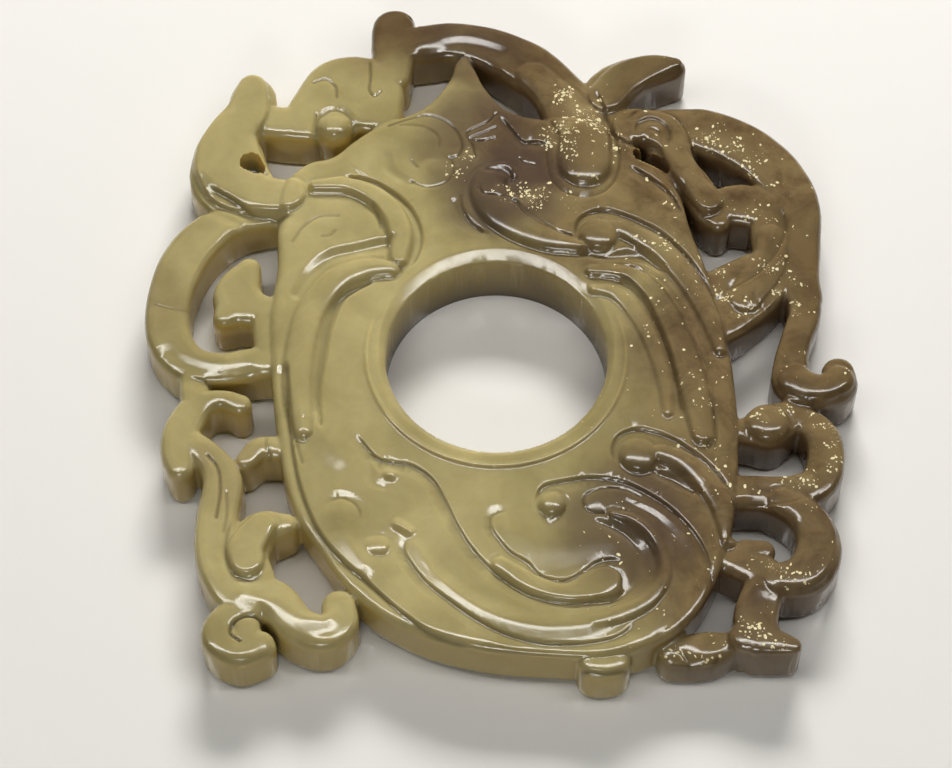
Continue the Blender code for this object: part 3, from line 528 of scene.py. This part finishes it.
def puck(x, y, radius, top):
    """The points of a round puck with a rounded rim, standing on z = 0."""
    rim = min(EDGE_ROUND, 0.8 * radius)
    rings = [(0.0, radius - FOOT_ROUND), (FOOT_ROUND, radius)]
    for lean in (0, 30, 60, 90):
        inwards = 1 - cos(radians(lean))
        upwards = sin(radians(lean))
        rings.append((top - rim + rim * upwards, radius - rim * inwards))
    points = []
    for level, reach in rings:
        reach = max(reach, 0.1)
        for corner in range(PUCK_CORNERS):
            turn = 2 * pi * corner / PUCK_CORNERS
            points.append((x + reach * cos(turn), y + reach * sin(turn), level))
    return points


def add_hull(body, corners):
    """Adds the closed hull round the corners to the body."""
    piece = bmesh.new()
    verts = [piece.verts.new(np.array(corner) * MM) for corner in corners]
    hull = bmesh.ops.convex_hull(piece, input=verts)
    spare = hull["geom_interior"] + hull["geom_unused"]
    bmesh.ops.delete(piece, geom=list(set(spare)), context="VERTS")
    mesh = bpy.data.meshes.new("hull")
    piece.to_mesh(mesh)
    piece.free()
    body.from_mesh(mesh)
    bpy.data.meshes.remove(mesh)


def add_limb(body, points, top):
    """Each two neighbouring pucks along a stroke are wrapped in one hull."""
    path = smooth_path(points)
    for (x0, y0, r0), (x1, y1, r1) in zip(path, path[1:]):
        add_hull(body, puck(x0, y0, r0, top) + puck(x1, y1, r1, top))


def add_plate(body):
    """The plate with its round hole, as a filled outline of full thickness with a rounded edge."""
    curve = bpy.data.curves.new("plate_outline", "CURVE")
    curve.dimensions = "2D"
    curve.fill_mode = "BOTH"
    curve.extrude = (PLATE_THICKNESS / 2 - EDGE_ROUND) * MM
    curve.bevel_depth = EDGE_ROUND * MM
    curve.bevel_resolution = 3
    curve.offset = -EDGE_ROUND * MM
    curve.resolution_u = 8
    spline = curve.splines.new("BEZIER")
    spline.bezier_points.add(len(PLATE) - 1)
    spline.use_cyclic_u = True
    for knot, (x, y) in zip(spline.bezier_points, PLATE):
        knot.co = (x * MM, y * MM, 0)
        knot.handle_left_type = knot.handle_right_type = "AUTO"
    outline = placed_object("plate_outline", curve)
    plate = placed_object("plate", evaluated_mesh(outline))
    plate.data.transform(Matrix.Translation((0, 0, PLATE_THICKNESS / 2 * MM)))
    cutter = placed_object("bore", bore_mesh())
    bore = plate.modifiers.new("bore", "BOOLEAN")
    bore.operation = "DIFFERENCE"
    bore.solver = "EXACT"
    bore.object = cutter
    body.from_mesh(evaluated_mesh(plate))
    for spare in (outline, plate, cutter):
        bpy.data.objects.remove(spare)


def bore_mesh():
    """A plain cylinder for the hole; its chamfer belongs to the carving."""
    mesh = bpy.data.meshes.new("bore")
    body = bmesh.new()
    radius = HOLE_RADIUS * MM
    length = 4 * PLATE_THICKNESS * MM
    bmesh.ops.create_cone(
        body, cap_ends=True, segments=BORE_CORNERS, radius1=radius, radius2=radius, depth=length
    )
    body.to_mesh(mesh)
    body.free()
    return mesh


def placed_object(name, data):
    thing = bpy.data.objects.new(name, data)
    bpy.context.scene.collection.objects.link(thing)
    return thing


def evaluated_mesh(thing):
    bpy.context.view_layer.update()
    return bpy.data.meshes.new_from_object(thing.evaluated_get(bpy.context.evaluated_depsgraph_get()))


def close_to(path, x, y, reach):
    """Which places lie in the box round a path, with the reach on all sides."""
    low, high = path.min(axis=0) - reach, path.max(axis=0) + reach
    return np.flatnonzero((x > low[0]) & (x < high[0]) & (y > low[1]) & (y < high[1]))


def inside_depth(points, x, y, margin=1.5):
    """How far each place lies inside a stroke's edge, below zero outside it, down to the margin."""
    path = smooth_path(points)
    close = close_to(path, x, y, path[:, 2].max() + margin)
    near_x, near_y = x[close], y[close]
    best = np.full(close.shape, -margin)
    for start, end in zip(path, path[1:]):
        step = end - start
        run = max(step[0] ** 2 + step[1] ** 2, 1e-12)
        share = np.clip(((near_x - start[0]) * step[0] + (near_y - start[1]) * step[1]) / run, 0, 1)
        away = np.hypot(near_x - start[0] - share * step[0], near_y - start[1] - share * step[1])
        best = np.maximum(best, start[2] + share * step[2] - away)
    depth = np.full(x.shape, -margin)
    depth[close] = best
    return depth


def beside_line(points, x, y, reach):
    """How far each place lies to the left of a line, below zero on its right, and how its ends fade.

    The fade is 0 beyond the reach."""
    path = smooth_path(points)
    close = close_to(path, x, y, reach)
    near_x, near_y = x[close], y[close]
    nearest = np.full(close.shape, np.inf)
    side = np.ones(close.shape)
    along = np.zeros(close.shape)
    gone = 0.0
    for start, end in zip(path, path[1:]):
        step = end - start
        run = np.hypot(*step)
        to_x, to_y = near_x - start[0], near_y - start[1]
        share = np.clip((to_x * step[0] + to_y * step[1]) / run**2, 0, 1)
        away = np.hypot(to_x - share * step[0], to_y - share * step[1])
        closer = away < nearest
        nearest = np.where(closer, away, nearest)
        side = np.where(closer, np.sign(step[0] * to_y - step[1] * to_x), side)
        along = np.where(closer, gone + share * run, along)
        gone += run
    left = np.full(x.shape, float(reach))
    left[close] = side * nearest
    fade = np.zeros(x.shape)
    ends = np.minimum(along, gone - along) / END_FADE
    fade[close] = np.where(nearest < reach, eased(ends), 0)
    return left, fade


def rounded(share):
    """0 to 1 along a quarter of a circle, so that a band has a round back."""
    return np.sqrt(1 - (1 - np.clip(share, 0, 1)) ** 2)


def eased(share):
    """0 to 1 with a soft start and end."""
    share = np.clip(share, 0, 1)
    return share * share * (3 - 2 * share)


def band_rise(form, depth, half_width):
    """The height of a band across its width, as a share of the full relief."""
    if form == "round":
        return rounded(depth / half_width)
    if form == "soft":
        return eased(depth / half_width)
    return rounded(depth / SHOULDER)


def raised_bands(x, y):
    """The height of the bands at each place, below zero in the narrow moats beside them."""
    raised = np.zeros(x.shape)
    moat = np.zeros(x.shape)
    for share, form, points in BANDS.values():
        half_width = max(width for _, _, width in points)
        depth = inside_depth(points, x, y)
        raised = np.maximum(raised, RELIEF * share * band_rise(form, depth, half_width))
        if form != "soft":
            beside = 1 - np.abs(depth + MOAT_WIDTH / 2) / (MOAT_WIDTH / 2)
            moat = np.maximum(moat, MOAT_DEPTH * share * eased(beside))
    return np.where(raised > 0, raised, -moat)


def grooved(full, x, y):
    """For each groove, how much of the full value each place has."""
    for share, points in GROOVES.values():
        yield full * share * eased(GROOVE_STEEPNESS * inside_depth(points, x, y))


def incised(full, x, y):
    """For each incised line, how much of the full value each place has."""
    for share, points in LINES.values():
        stroke = [(a, b, LINE_WIDTH) for a, b in points]
        yield full * share * eased(inside_depth(stroke, x, y) / LINE_WIDTH)


def cut_depth(x, y):
    """The depth of all that is cut into the face at each place."""
    sunk = np.zeros(x.shape)
    for groove in grooved(GROOVE_DEPTH, x, y):
        sunk = np.maximum(sunk, groove)
    for depth, points in HOLLOWS.values():
        half_width = max(width for _, _, width in points)
        sunk = np.maximum(sunk, depth * eased(inside_depth(points, x, y) / half_width))
    slope = SLANT_SLOPE + SLANT_STEEPER * y
    for share, reach, points in SLANTS.values():
        away, fade = beside_line(points, x, y, reach + SLANT_WALL)
        slant = np.where(away > 0, 1 - away / reach, 1 + away / SLANT_WALL)
        sunk = np.maximum(sunk, share * fade * slope * reach * np.clip(slant, 0, 1))
    for points in DRILLED.values():
        sunk = np.maximum(sunk, DRILL_DEPTH * rounded(DRILL_STEEPNESS * inside_depth(points, x, y)))
    for line in incised(LINE_DEPTH, x, y):
        sunk = sunk + line
    for drop, reach, points in FALLS.values():
        away, fade = beside_line(points, x, y, FALL_SPAN * reach)
        fallen = np.minimum(eased(away / reach), eased(FALL_SPAN - away / reach))
        sunk = sunk + np.where(away > 0, drop * fade * fallen, 0)
    return sunk


def hole_rim(out, y):
    """The bead round the hole's near side and the chamfer, which is widest at the far side."""
    beyond = out - HOLE_RADIUS
    far = np.clip(y / np.maximum(out, 1e-6), 0, 1)
    width = CHAMFER_WIDTH * (NEAR_CHAMFER + (1 - NEAR_CHAMFER) * far)
    inwards = 1 - beyond / width
    blend = np.clip(inwards + CHAMFER_BLEND, 0, None) ** 2 / (4 * CHAMFER_BLEND)
    chamfer = CHAMFER_DROP * np.where(inwards > CHAMFER_BLEND, inwards, blend)
    bead_middle = RIM_BEAD_RADIUS - HOLE_RADIUS
    across = eased(1 - np.abs(beyond - bead_middle) / RIM_BEAD_WIDTH)
    bead = RIM_BEAD_RISE * (1 - eased(2 * far)) * across
    return bead, chamfer


def carving(x, y):
    """The height that carving adds to the face at each place, in millimetres."""
    out = np.hypot(x, y)
    swell = PLATE_RISE * np.clip(1 - (out / RISE_RADIUS) ** 2, 0, 1)
    bead, chamfer = hole_rim(out, y)
    return swell + raised_bands(x, y) - cut_depth(x, y) + bead - chamfer


def write_spots(mesh, spots):
    mesh.vertices.foreach_set("co", (spots * MM).astype(np.float32).ravel())
    mesh.update()


def read_spots(mesh):
    spots = np.empty(3 * len(mesh.vertices), np.float32)
    mesh.vertices.foreach_get("co", spots)
    return spots.reshape(-1, 3).astype(float) / MM


def carve(mesh):
    """Moves the face up and down by the carving, and lays the underside flat."""
    spots = read_spots(mesh)
    upper = np.clip((spots[:, 2] / LIMB_THICKNESS - CARVED_FROM) / CARVED_OVER, 0, 1)
    spots[:, 2] += upper * carving(spots[:, 0], spots[:, 1])
    spots[spots[:, 2] < SKIN_CELL / 2, 2] = 0
    out = np.hypot(spots[:, 0], spots[:, 1])
    on_bore = np.abs(out - HOLE_RADIUS) < SKIN_CELL / 2
    spots[on_bore, :2] *= (HOLE_RADIUS / out[on_bore])[:, None]
    write_spots(mesh, spots)


def carved_stone():
    """The whole pendant as one closed skin, carved and thinned."""
    body = bmesh.new()
    for points in LIMBS.values():
        add_limb(body, points, LIMB_THICKNESS)
    add_limb(body, STUMP, LIMB_THICKNESS - STUMP_DROP)
    add_plate(body)
    rough = bpy.data.meshes.new("rough")
    body.to_mesh(rough)
    body.free()

    blank = placed_object("blank", rough)
    skin = blank.modifiers.new("one skin", "REMESH")
    skin.mode = "VOXEL"
    skin.voxel_size = SKIN_CELL * MM
    carved = evaluated_mesh(blank)
    carve(carved)

    blank.modifiers.clear()
    blank.data = carved
    thin = blank.modifiers.new("fewer faces", "DECIMATE")
    thin.use_collapse_triangulate = True
    thin.ratio = min(1, TRIANGLES / (2 * len(carved.polygons)))
    stone = evaluated_mesh(blank)
    bpy.data.objects.remove(blank)
    return stone


def lay_in_box(mesh, low, high):
    """Moves the mesh into the middle of the box, on its floor, shrunk by a hair where it would reach out.

    Returns where the middle of the hole then is."""
    spots = read_spots(mesh)
    own_low, own_high = spots.min(axis=0), spots.max(axis=0)
    room_low = np.array(low) / MM + BOX_HAIR
    room_high = np.array(high) / MM - BOX_HAIR
    fit = np.minimum(1, (room_high - room_low) / (own_high - own_low))
    middle, room_middle = (own_low + own_high) / 2, (room_low + room_high) / 2
    placed = (spots - middle) * fit + room_middle
    placed[:, 2] = (spots[:, 2] - (own_low[2] - low[2] / MM)) * fit[2]
    write_spots(mesh, placed)
    hole = -middle * fit + room_middle
    return Vector((hole[0], hole[1], 0)) * MM


def linear(code):
    """An sRGB hex colour as the linear colour that a shader takes."""
    shares = [int(code[i : i + 2], 16) / 255 for i in (1, 3, 5)]
    return tuple(c / 12.92 if c <= 0.04045 else ((c + 0.055) / 1.055) ** 2.4 for c in shares) + (1,)


def node(tree, kind, sockets=None, **settings):
    """Adds a node and returns its outputs. Settings are its properties; sockets take values or outputs."""
    made = tree.nodes.new(kind)
    for name, value in settings.items():
        setattr(made, name, value)
    for name, value in (sockets or {}).items():
        if isinstance(value, bpy.types.NodeSocket):
            tree.links.new(value, made.inputs[name])
        else:
            made.inputs[name].default_value = value
    return made.outputs


def new_material(name, values):
    """A material of one principled shader, with values for some of its inputs."""
    made = bpy.data.materials.new(name)
    made.use_nodes = True
    for label, value in values.items():
        made.node_tree.nodes["Principled BSDF"].inputs[label].default_value = value
    return made


def stained(tree, drift, patches):
    """How much of a stain each place has, 0 to 1, from its soft-edged patches."""
    total = 0
    for (x, y), reach, amount in patches.values():
        away = node(
            tree, "ShaderNodeVectorMath", {0: drift, 1: (x, y, LIMB_THICKNESS)}, operation="DISTANCE"
        )["Value"]
        core = STAIN_CORE * reach
        here = node(
            tree, "ShaderNodeMapRange",
            {"Value": away, "From Min": reach, "From Max": core, "To Min": 0, "To Max": amount},
            interpolation_type="SMOOTHSTEP",
        )[0]
        total = node(tree, "ShaderNodeMath", {0: total, 1: here}, operation="MAXIMUM")[0]
    return total


def polished_nephrite(hole):
    """Nephrite, ground and polished by hand: waxy, a little see-through, olive turning to brown.

    It gives a soft gloss, light that seeps under the surface, cloudy zones, painted shade in the cuts and
    the bore, and on the steep sides a painted glow and painted shade."""
    stone = new_material("polished_nephrite", {
        "IOR": 1.61, "Subsurface Weight": 0.55, "Subsurface Radius": (1.0, 0.75, 0.35),
        "Subsurface Scale": SEEP * MM,
    })
    tree = stone.node_tree
    spot = node(tree, "ShaderNodeTexCoord")
    plan = node(
        tree, "ShaderNodeMapping",
        {"Vector": spot["Object"], "Location": -hole / MM, "Scale": (1 / MM,) * 3},
    )[0]
    wander = node(
        tree, "ShaderNodeTexNoise", {"Vector": plan, "Scale": 1 / WANDER_SIZE, "Detail": 3}
    )["Color"]
    shifted = node(tree, "ShaderNodeVectorMath", {0: wander, 1: (0.5, 0.5, 0.5)}, operation="SUBTRACT")[0]
    drift = node(
        tree, "ShaderNodeVectorMath", {0: shifted, 1: (WANDER,) * 3, 2: plan}, operation="MULTIPLY_ADD"
    )[0]

    clouds = node(
        tree, "ShaderNodeTexNoise",
        {"Vector": drift, "Scale": 1 / CLOUD_SIZE, "Detail": 6, "Roughness": 0.6},
    )[0]
    cloudy = node(tree, "ShaderNodeMapRange", {"Value": clouds, "From Min": 0.35, "From Max": 0.65})[0]
    mottle = node(
        tree, "ShaderNodeTexNoise",
        {"Vector": drift, "Scale": 1 / MOTTLE_SIZE, "Detail": 5, "Roughness": 0.65, "Distortion": 0.2},
    )[0]
    mottled = node(tree, "ShaderNodeMapRange", {"Value": mottle, "From Min": 0.4, "From Max": 0.7})[0]

    # Steep sides take painted light: a painted glow where the stone is pale, painted shade where it is
    # brown
    upright = node(tree, "ShaderNodeSeparateXYZ", {"Vector": spot["Normal"]})["Z"]
    steep = node(tree, "ShaderNodeMath", {0: upright}, operation="ABSOLUTE")[0]
    painted_side_light = node(
        tree, "ShaderNodeMapRange", {"Value": steep, "From Min": 0.55, "From Max": 0.15, "To Max": 0.65},
        interpolation_type="SMOOTHSTEP",
    )[0]
    # Painted shade in the cuts and on the bore's lower wall
    painted_shade = node(tree, "ShaderNodeAttribute", attribute_name="painted_shade")["Fac"]
    speckled = node(tree, "ShaderNodeAttribute", attribute_name="fleck")["Fac"]
    hazy = node(tree, "ShaderNodeMath", {0: speckled, 1: mottled}, operation="MULTIPLY")[0]
    brown = stained(tree, drift, BROWN_PATCHES)
    brown_now, side_light_colour = [
        node(
            tree, "ShaderNodeMix", {"Factor": share, "A": linear(a), "B": linear(b)}, data_type="RGBA"
        )["Result"]
        for share, a, b in ((mottled, BROWN, BROWN_DARK), (brown, GLOW_HONEY, SHADED_WALL_BROWN))
    ]
    dark = stained(tree, drift, DARK_PATCHES)
    plum = stained(tree, drift, PLUM_PATCHES)
    layers = [
        (linear(OLIVE_DEEP), cloudy), (brown_now, brown), (linear(BROWN_DARK), dark),
        (linear(PLUM), plum), (linear(SPECKLED), hazy), (side_light_colour, painted_side_light), (linear(PAINTED_SHADE_BROWN), painted_shade),
    ]
    colour = linear(OLIVE_PALE)
    for over, share in layers:
        colour = node(
            tree, "ShaderNodeMix", {"Factor": share, "A": colour, "B": over}, data_type="RGBA"
        )["Result"]

    streaks = node(
        tree, "ShaderNodeTexNoise",
        {"Vector": plan, "Scale": 1 / SCRATCH_SIZE, "Detail": 4, "Roughness": 0.7},
    )[0]
    dull = node(
        tree, "ShaderNodeMapRange",
        {"Value": mottle, "From Min": 0.3, "From Max": 0.7, "To Min": GLOSSIEST, "To Max": DULLEST},
    )[0]
    ripple = node(tree, "ShaderNodeTexNoise", {"Vector": drift, "Scale": 1 / RIPPLE_SIZE, "Detail": 2})[0]
    rippled = node(tree, "ShaderNodeBump", {"Height": ripple, "Distance": RIPPLE_DEPTH * MM})[0]
    bump = node(
        tree, "ShaderNodeBump", {"Height": streaks, "Distance": SCRATCH_DEPTH * MM, "Normal": rippled}
    )[0]
    for name, value in {"Base Color": colour, "Roughness": dull, "Normal": bump}.items():
        tree.links.new(value, tree.nodes["Principled BSDF"].inputs[name])
    return stone


def paint(mesh, name, shares):
    """Stores a share for each corner of the mesh, which a shader or a scatter reads by name."""
    layer = mesh.attributes.new(name, "FLOAT", "POINT")
    layer.data.foreach_set("value", shares.astype(np.float32))


def paint_shade(mesh, hole):
    """Stores painted shade, 0 to 1: in the cuts, strongest in each, and on the bore's lower wall."""
    x, y, level = (read_spots(mesh) - np.array(hole) / MM).T
    painted_shade = np.zeros(x.shape)
    for groove in grooved(GROOVE_SHADE, x, y):
        painted_shade = np.maximum(painted_shade, groove)
    for points in DRILLED.values():
        painted_shade = np.maximum(painted_shade, DRILL_SHADE * eased(DRILL_STEEPNESS * inside_depth(points, x, y)))
    for line in incised(LINE_SHADE, x, y):
        painted_shade = np.maximum(painted_shade, line)
    for share, _, points in SLANTS.values():
        away, fade = beside_line(points, x, y, SLANT_WALL)
        painted_shade = np.maximum(painted_shade, SLANT_SHADE * share * fade * eased(1 - np.abs(away) / SLANT_WALL))
    painted_shade *= level > CARVED_FROM * LIMB_THICKNESS
    # Painted shade darkens the bore's wall towards the bottom
    in_bore = np.hypot(x, y) < HOLE_RADIUS + SKIN_CELL
    low = (BORE_SHADE_TOP * LIMB_THICKNESS - level) / BORE_SHADE_FADE
    painted_shade = np.maximum(painted_shade, BORE_SHADE * in_bore * eased(low))
    paint(mesh, "painted_shade", painted_shade)


def paint_flecks(mesh, hole):
    """Stores how thick the mineral flecks lie at each place on the face, 0 to 1."""
    x, y, level = (read_spots(mesh) - np.array(hole) / MM).T
    fleck = STRAY_FLECKS * eased((x - STRAY_FROM) / STRAY_OVER)
    for share, points in FLECK_CLUSTERS.values():
        fleck = np.maximum(fleck, share * eased(0.5 + 0.5 * inside_depth(points, x, y, margin=1.0)))
    normals = np.empty(3 * len(mesh.vertices), np.float32)
    mesh.vertex_normals.foreach_get("vector", normals)
    fleck *= (level > FACE_LEVEL * LIMB_THICKNESS) & (normals[2::3] > FACE_UPRIGHT)
    paint(mesh, "fleck", fleck)


def scattered_flecks():
    """Node group that lays flat chips on the mesh, thickest where its "fleck" share is high."""
    tree = bpy.data.node_groups.new("scattered_flecks", "GeometryNodeTree")
    tree.is_modifier = True
    wanted = {
        "Geometry": "Geometry", "Per Square Metre": "Float", "Smallest": "Float", "Largest": "Float",
        "Clumps Per Metre": "Float", "Seed": "Int", "Material": "Material",
    }
    for label, kind in wanted.items():
        tree.interface.new_socket(label, in_out="INPUT", socket_type="NodeSocket" + kind)
    tree.interface.new_socket("Geometry", in_out="OUTPUT", socket_type="NodeSocketGeometry")
    given = node(tree, "NodeGroupInput")
    share = node(
        tree, "GeometryNodeInputNamedAttribute", {"Name": "fleck"}, data_type="FLOAT"
    )["Attribute"]
    clumps = node(
        tree, "ShaderNodeTexNoise", {"Scale": given["Clumps Per Metre"], "Detail": 2, "Roughness": 0.6}
    )[0]
    clumped = node(tree, "ShaderNodeMapRange", {"Value": clumps, "From Min": 0.5, "From Max": 0.6})[0]
    density = node(
        tree, "ShaderNodeMath", {0: share, 1: given["Per Square Metre"]}, operation="MULTIPLY"
    )[0]
    density = node(tree, "ShaderNodeMath", {0: density, 1: clumped}, operation="MULTIPLY")[0]
    points = node(
        tree, "GeometryNodeDistributePointsOnFaces",
        {"Mesh": given["Geometry"], "Density": density, "Seed": given["Seed"]},
    )
    luck = node(tree, "FunctionNodeRandomValue", {"Seed": given["Seed"]}, data_type="FLOAT")["Value"]
    seldom = node(tree, "ShaderNodeMath", {0: luck, 1: 2.0}, operation="POWER")[0]
    length = node(
        tree, "ShaderNodeMapRange",
        {"Value": seldom, "To Min": given["Smallest"], "To Max": given["Largest"]},
    )[0]
    shape = node(
        tree, "FunctionNodeRandomValue", {"Min": (0.4, 0.25, 0.1), "Max": (1.1, 0.7, 0.25)},
        data_type="FLOAT_VECTOR",
    )["Value"]
    sized = node(tree, "ShaderNodeVectorMath", {0: shape, "Scale": length}, operation="SCALE")[0]
    spin = node(
        tree, "FunctionNodeRandomValue", {"Min": (-0.2, -0.2, 0), "Max": (0.2, 0.2, pi)},
        data_type="FLOAT_VECTOR",
    )["Value"]
    turned = node(
        tree, "FunctionNodeRotateRotation", {"Rotation": points["Rotation"], "Rotate By": spin},
        rotation_space="LOCAL",
    )[0]
    chip = node(tree, "GeometryNodeMeshIcoSphere", {"Radius": 1.0, "Subdivisions": 1})["Mesh"]
    laid = node(
        tree, "GeometryNodeInstanceOnPoints",
        {"Points": points["Points"], "Instance": chip, "Rotation": turned, "Scale": sized},
    )[0]
    real = node(tree, "GeometryNodeRealizeInstances", {"Geometry": laid})[0]
    made = node(tree, "GeometryNodeSetMaterial", {"Geometry": real, "Material": given["Material"]})[0]
    node(tree, "NodeGroupOutput", {"Geometry": made})
    return tree


def fleck_mesh(mesh, top):
    """The flecks as a mesh of their own, set into the stone's face and kept under the top."""
    carrier = placed_object("fleck_carrier", mesh.copy())
    scatter = carrier.modifiers.new("flecks", "NODES")
    scatter.node_group = scattered_flecks()
    settings = {
        "Per Square Metre": FLECKS_PER_MM2 / MM**2, "Smallest": FLECK_SMALLEST * MM,
        "Largest": FLECK_LARGEST * MM, "Clumps Per Metre": 1 / (FLECK_CLUMP * MM), "Seed": FLECK_SEED,
        "Material": fleck_mineral(),
    }
    for socket in scatter.node_group.interface.items_tree:
        if socket.in_out == "INPUT" and socket.name in settings:
            scatter[socket.identifier] = settings[socket.name]
    flecks = evaluated_mesh(carrier)
    bpy.data.objects.remove(carrier)
    spots = read_spots(flecks)
    spots[:, 2] = np.minimum(spots[:, 2], top / MM - BOX_HAIR)
    write_spots(flecks, spots)
    return flecks


def fleck_mineral():
    """A pale mineral in small grains, harder and shinier than the nephrite round it."""
    return new_material("pale_mineral_grain", {"Base Color": linear(FLECK), "Roughness": 0.25, "IOR": 1.6})


def pale_floor():
    """Smooth white laminate: a soft, faint mirror."""
    look = {"Base Color": linear(FLOOR_WHITE), "Roughness": 0.13, "IOR": 1.5}
    return new_material("white_laminate", look)


def soft_light(name, place, width, depth, power, without):
    """An oblong lamp aimed at the floor's middle, which may leave out its gloss or its matt light."""
    data = bpy.data.lights.new(name, "AREA")
    data.shape = "RECTANGLE"
    data.size, data.size_y = width, depth
    data.energy = power
    data.color = linear(LAMP_WHITE)[:3]
    lamp = placed_object(name, data)
    lamp.location = place
    lamp.rotation_euler = (Vector() - Vector(place)).to_track_quat("-Z", "Y").to_euler()
    lamp.visible_glossy = without != "gloss"
    lamp.visible_diffuse = without != "matt"


stone_mesh = carved_stone()
hole = lay_in_box(stone_mesh, *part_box("jade_pendant"))
paint_shade(stone_mesh, hole)
paint_flecks(stone_mesh, hole)
stone_mesh.shade_smooth()
stone_mesh.set_sharp_from_angle(angle=radians(CREASE_ANGLE))
stone_mesh.materials.append(polished_nephrite(hole))
pendant = placed_object("carved_pendant", stone_mesh)
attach(pendant, "root")
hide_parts("jade_pendant")
flecks = placed_object("mineral_flecks", fleck_mesh(stone_mesh, cad_high[2]))
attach(flecks, "root")

floor_mesh = bpy.data.meshes.new("floor")
half = FLOOR_SIZE / 2
corners = [(-half, -half, 0), (half, -half, 0), (half, half, 0), (-half, half, 0)]
floor_mesh.from_pydata(corners, [], [(0, 1, 2, 3)])
floor_mesh.materials.append(pale_floor())
placed_object("floor", floor_mesh)

# Studio light: a long strip above for the gloss, and soft light from three sides
for name, (place, width, depth, power, without) in LIGHTS.items():
    soft_light(name, place, width, depth, power, without)
surround = bpy.data.worlds.new("studio")
surround.use_nodes = True
glow = surround.node_tree.nodes["Background"].inputs
glow["Color"].default_value = linear(SURROUND_WHITE)
glow["Strength"].default_value = SURROUND_STRENGTH
bpy.context.scene.view_settings.view_transform = "Standard"
bpy.context.scene.world = surround

# The camera looks down at the face from above the foot, as in the photograph
rise = radians(CAMERA_ELEVATION)
face_middle = hole + Vector((0, 0, FACE_HEIGHT * MM))
eye = face_middle + CAMERA_DISTANCE * Vector((0, -cos(rise), sin(rise)))
target = face_middle + Vector(AIM_OFFSET) * MM
lens = bpy.data.cameras.new("camera")
lens.sensor_width = SENSOR_WIDTH
lens.lens = LENS
lens.clip_start = 0.01
camera = placed_object("camera", lens)
camera.location = eye
camera.rotation_euler = (target - eye).to_track_quat("-Z", "Y").to_euler()
bpy.context.scene.camera = camera
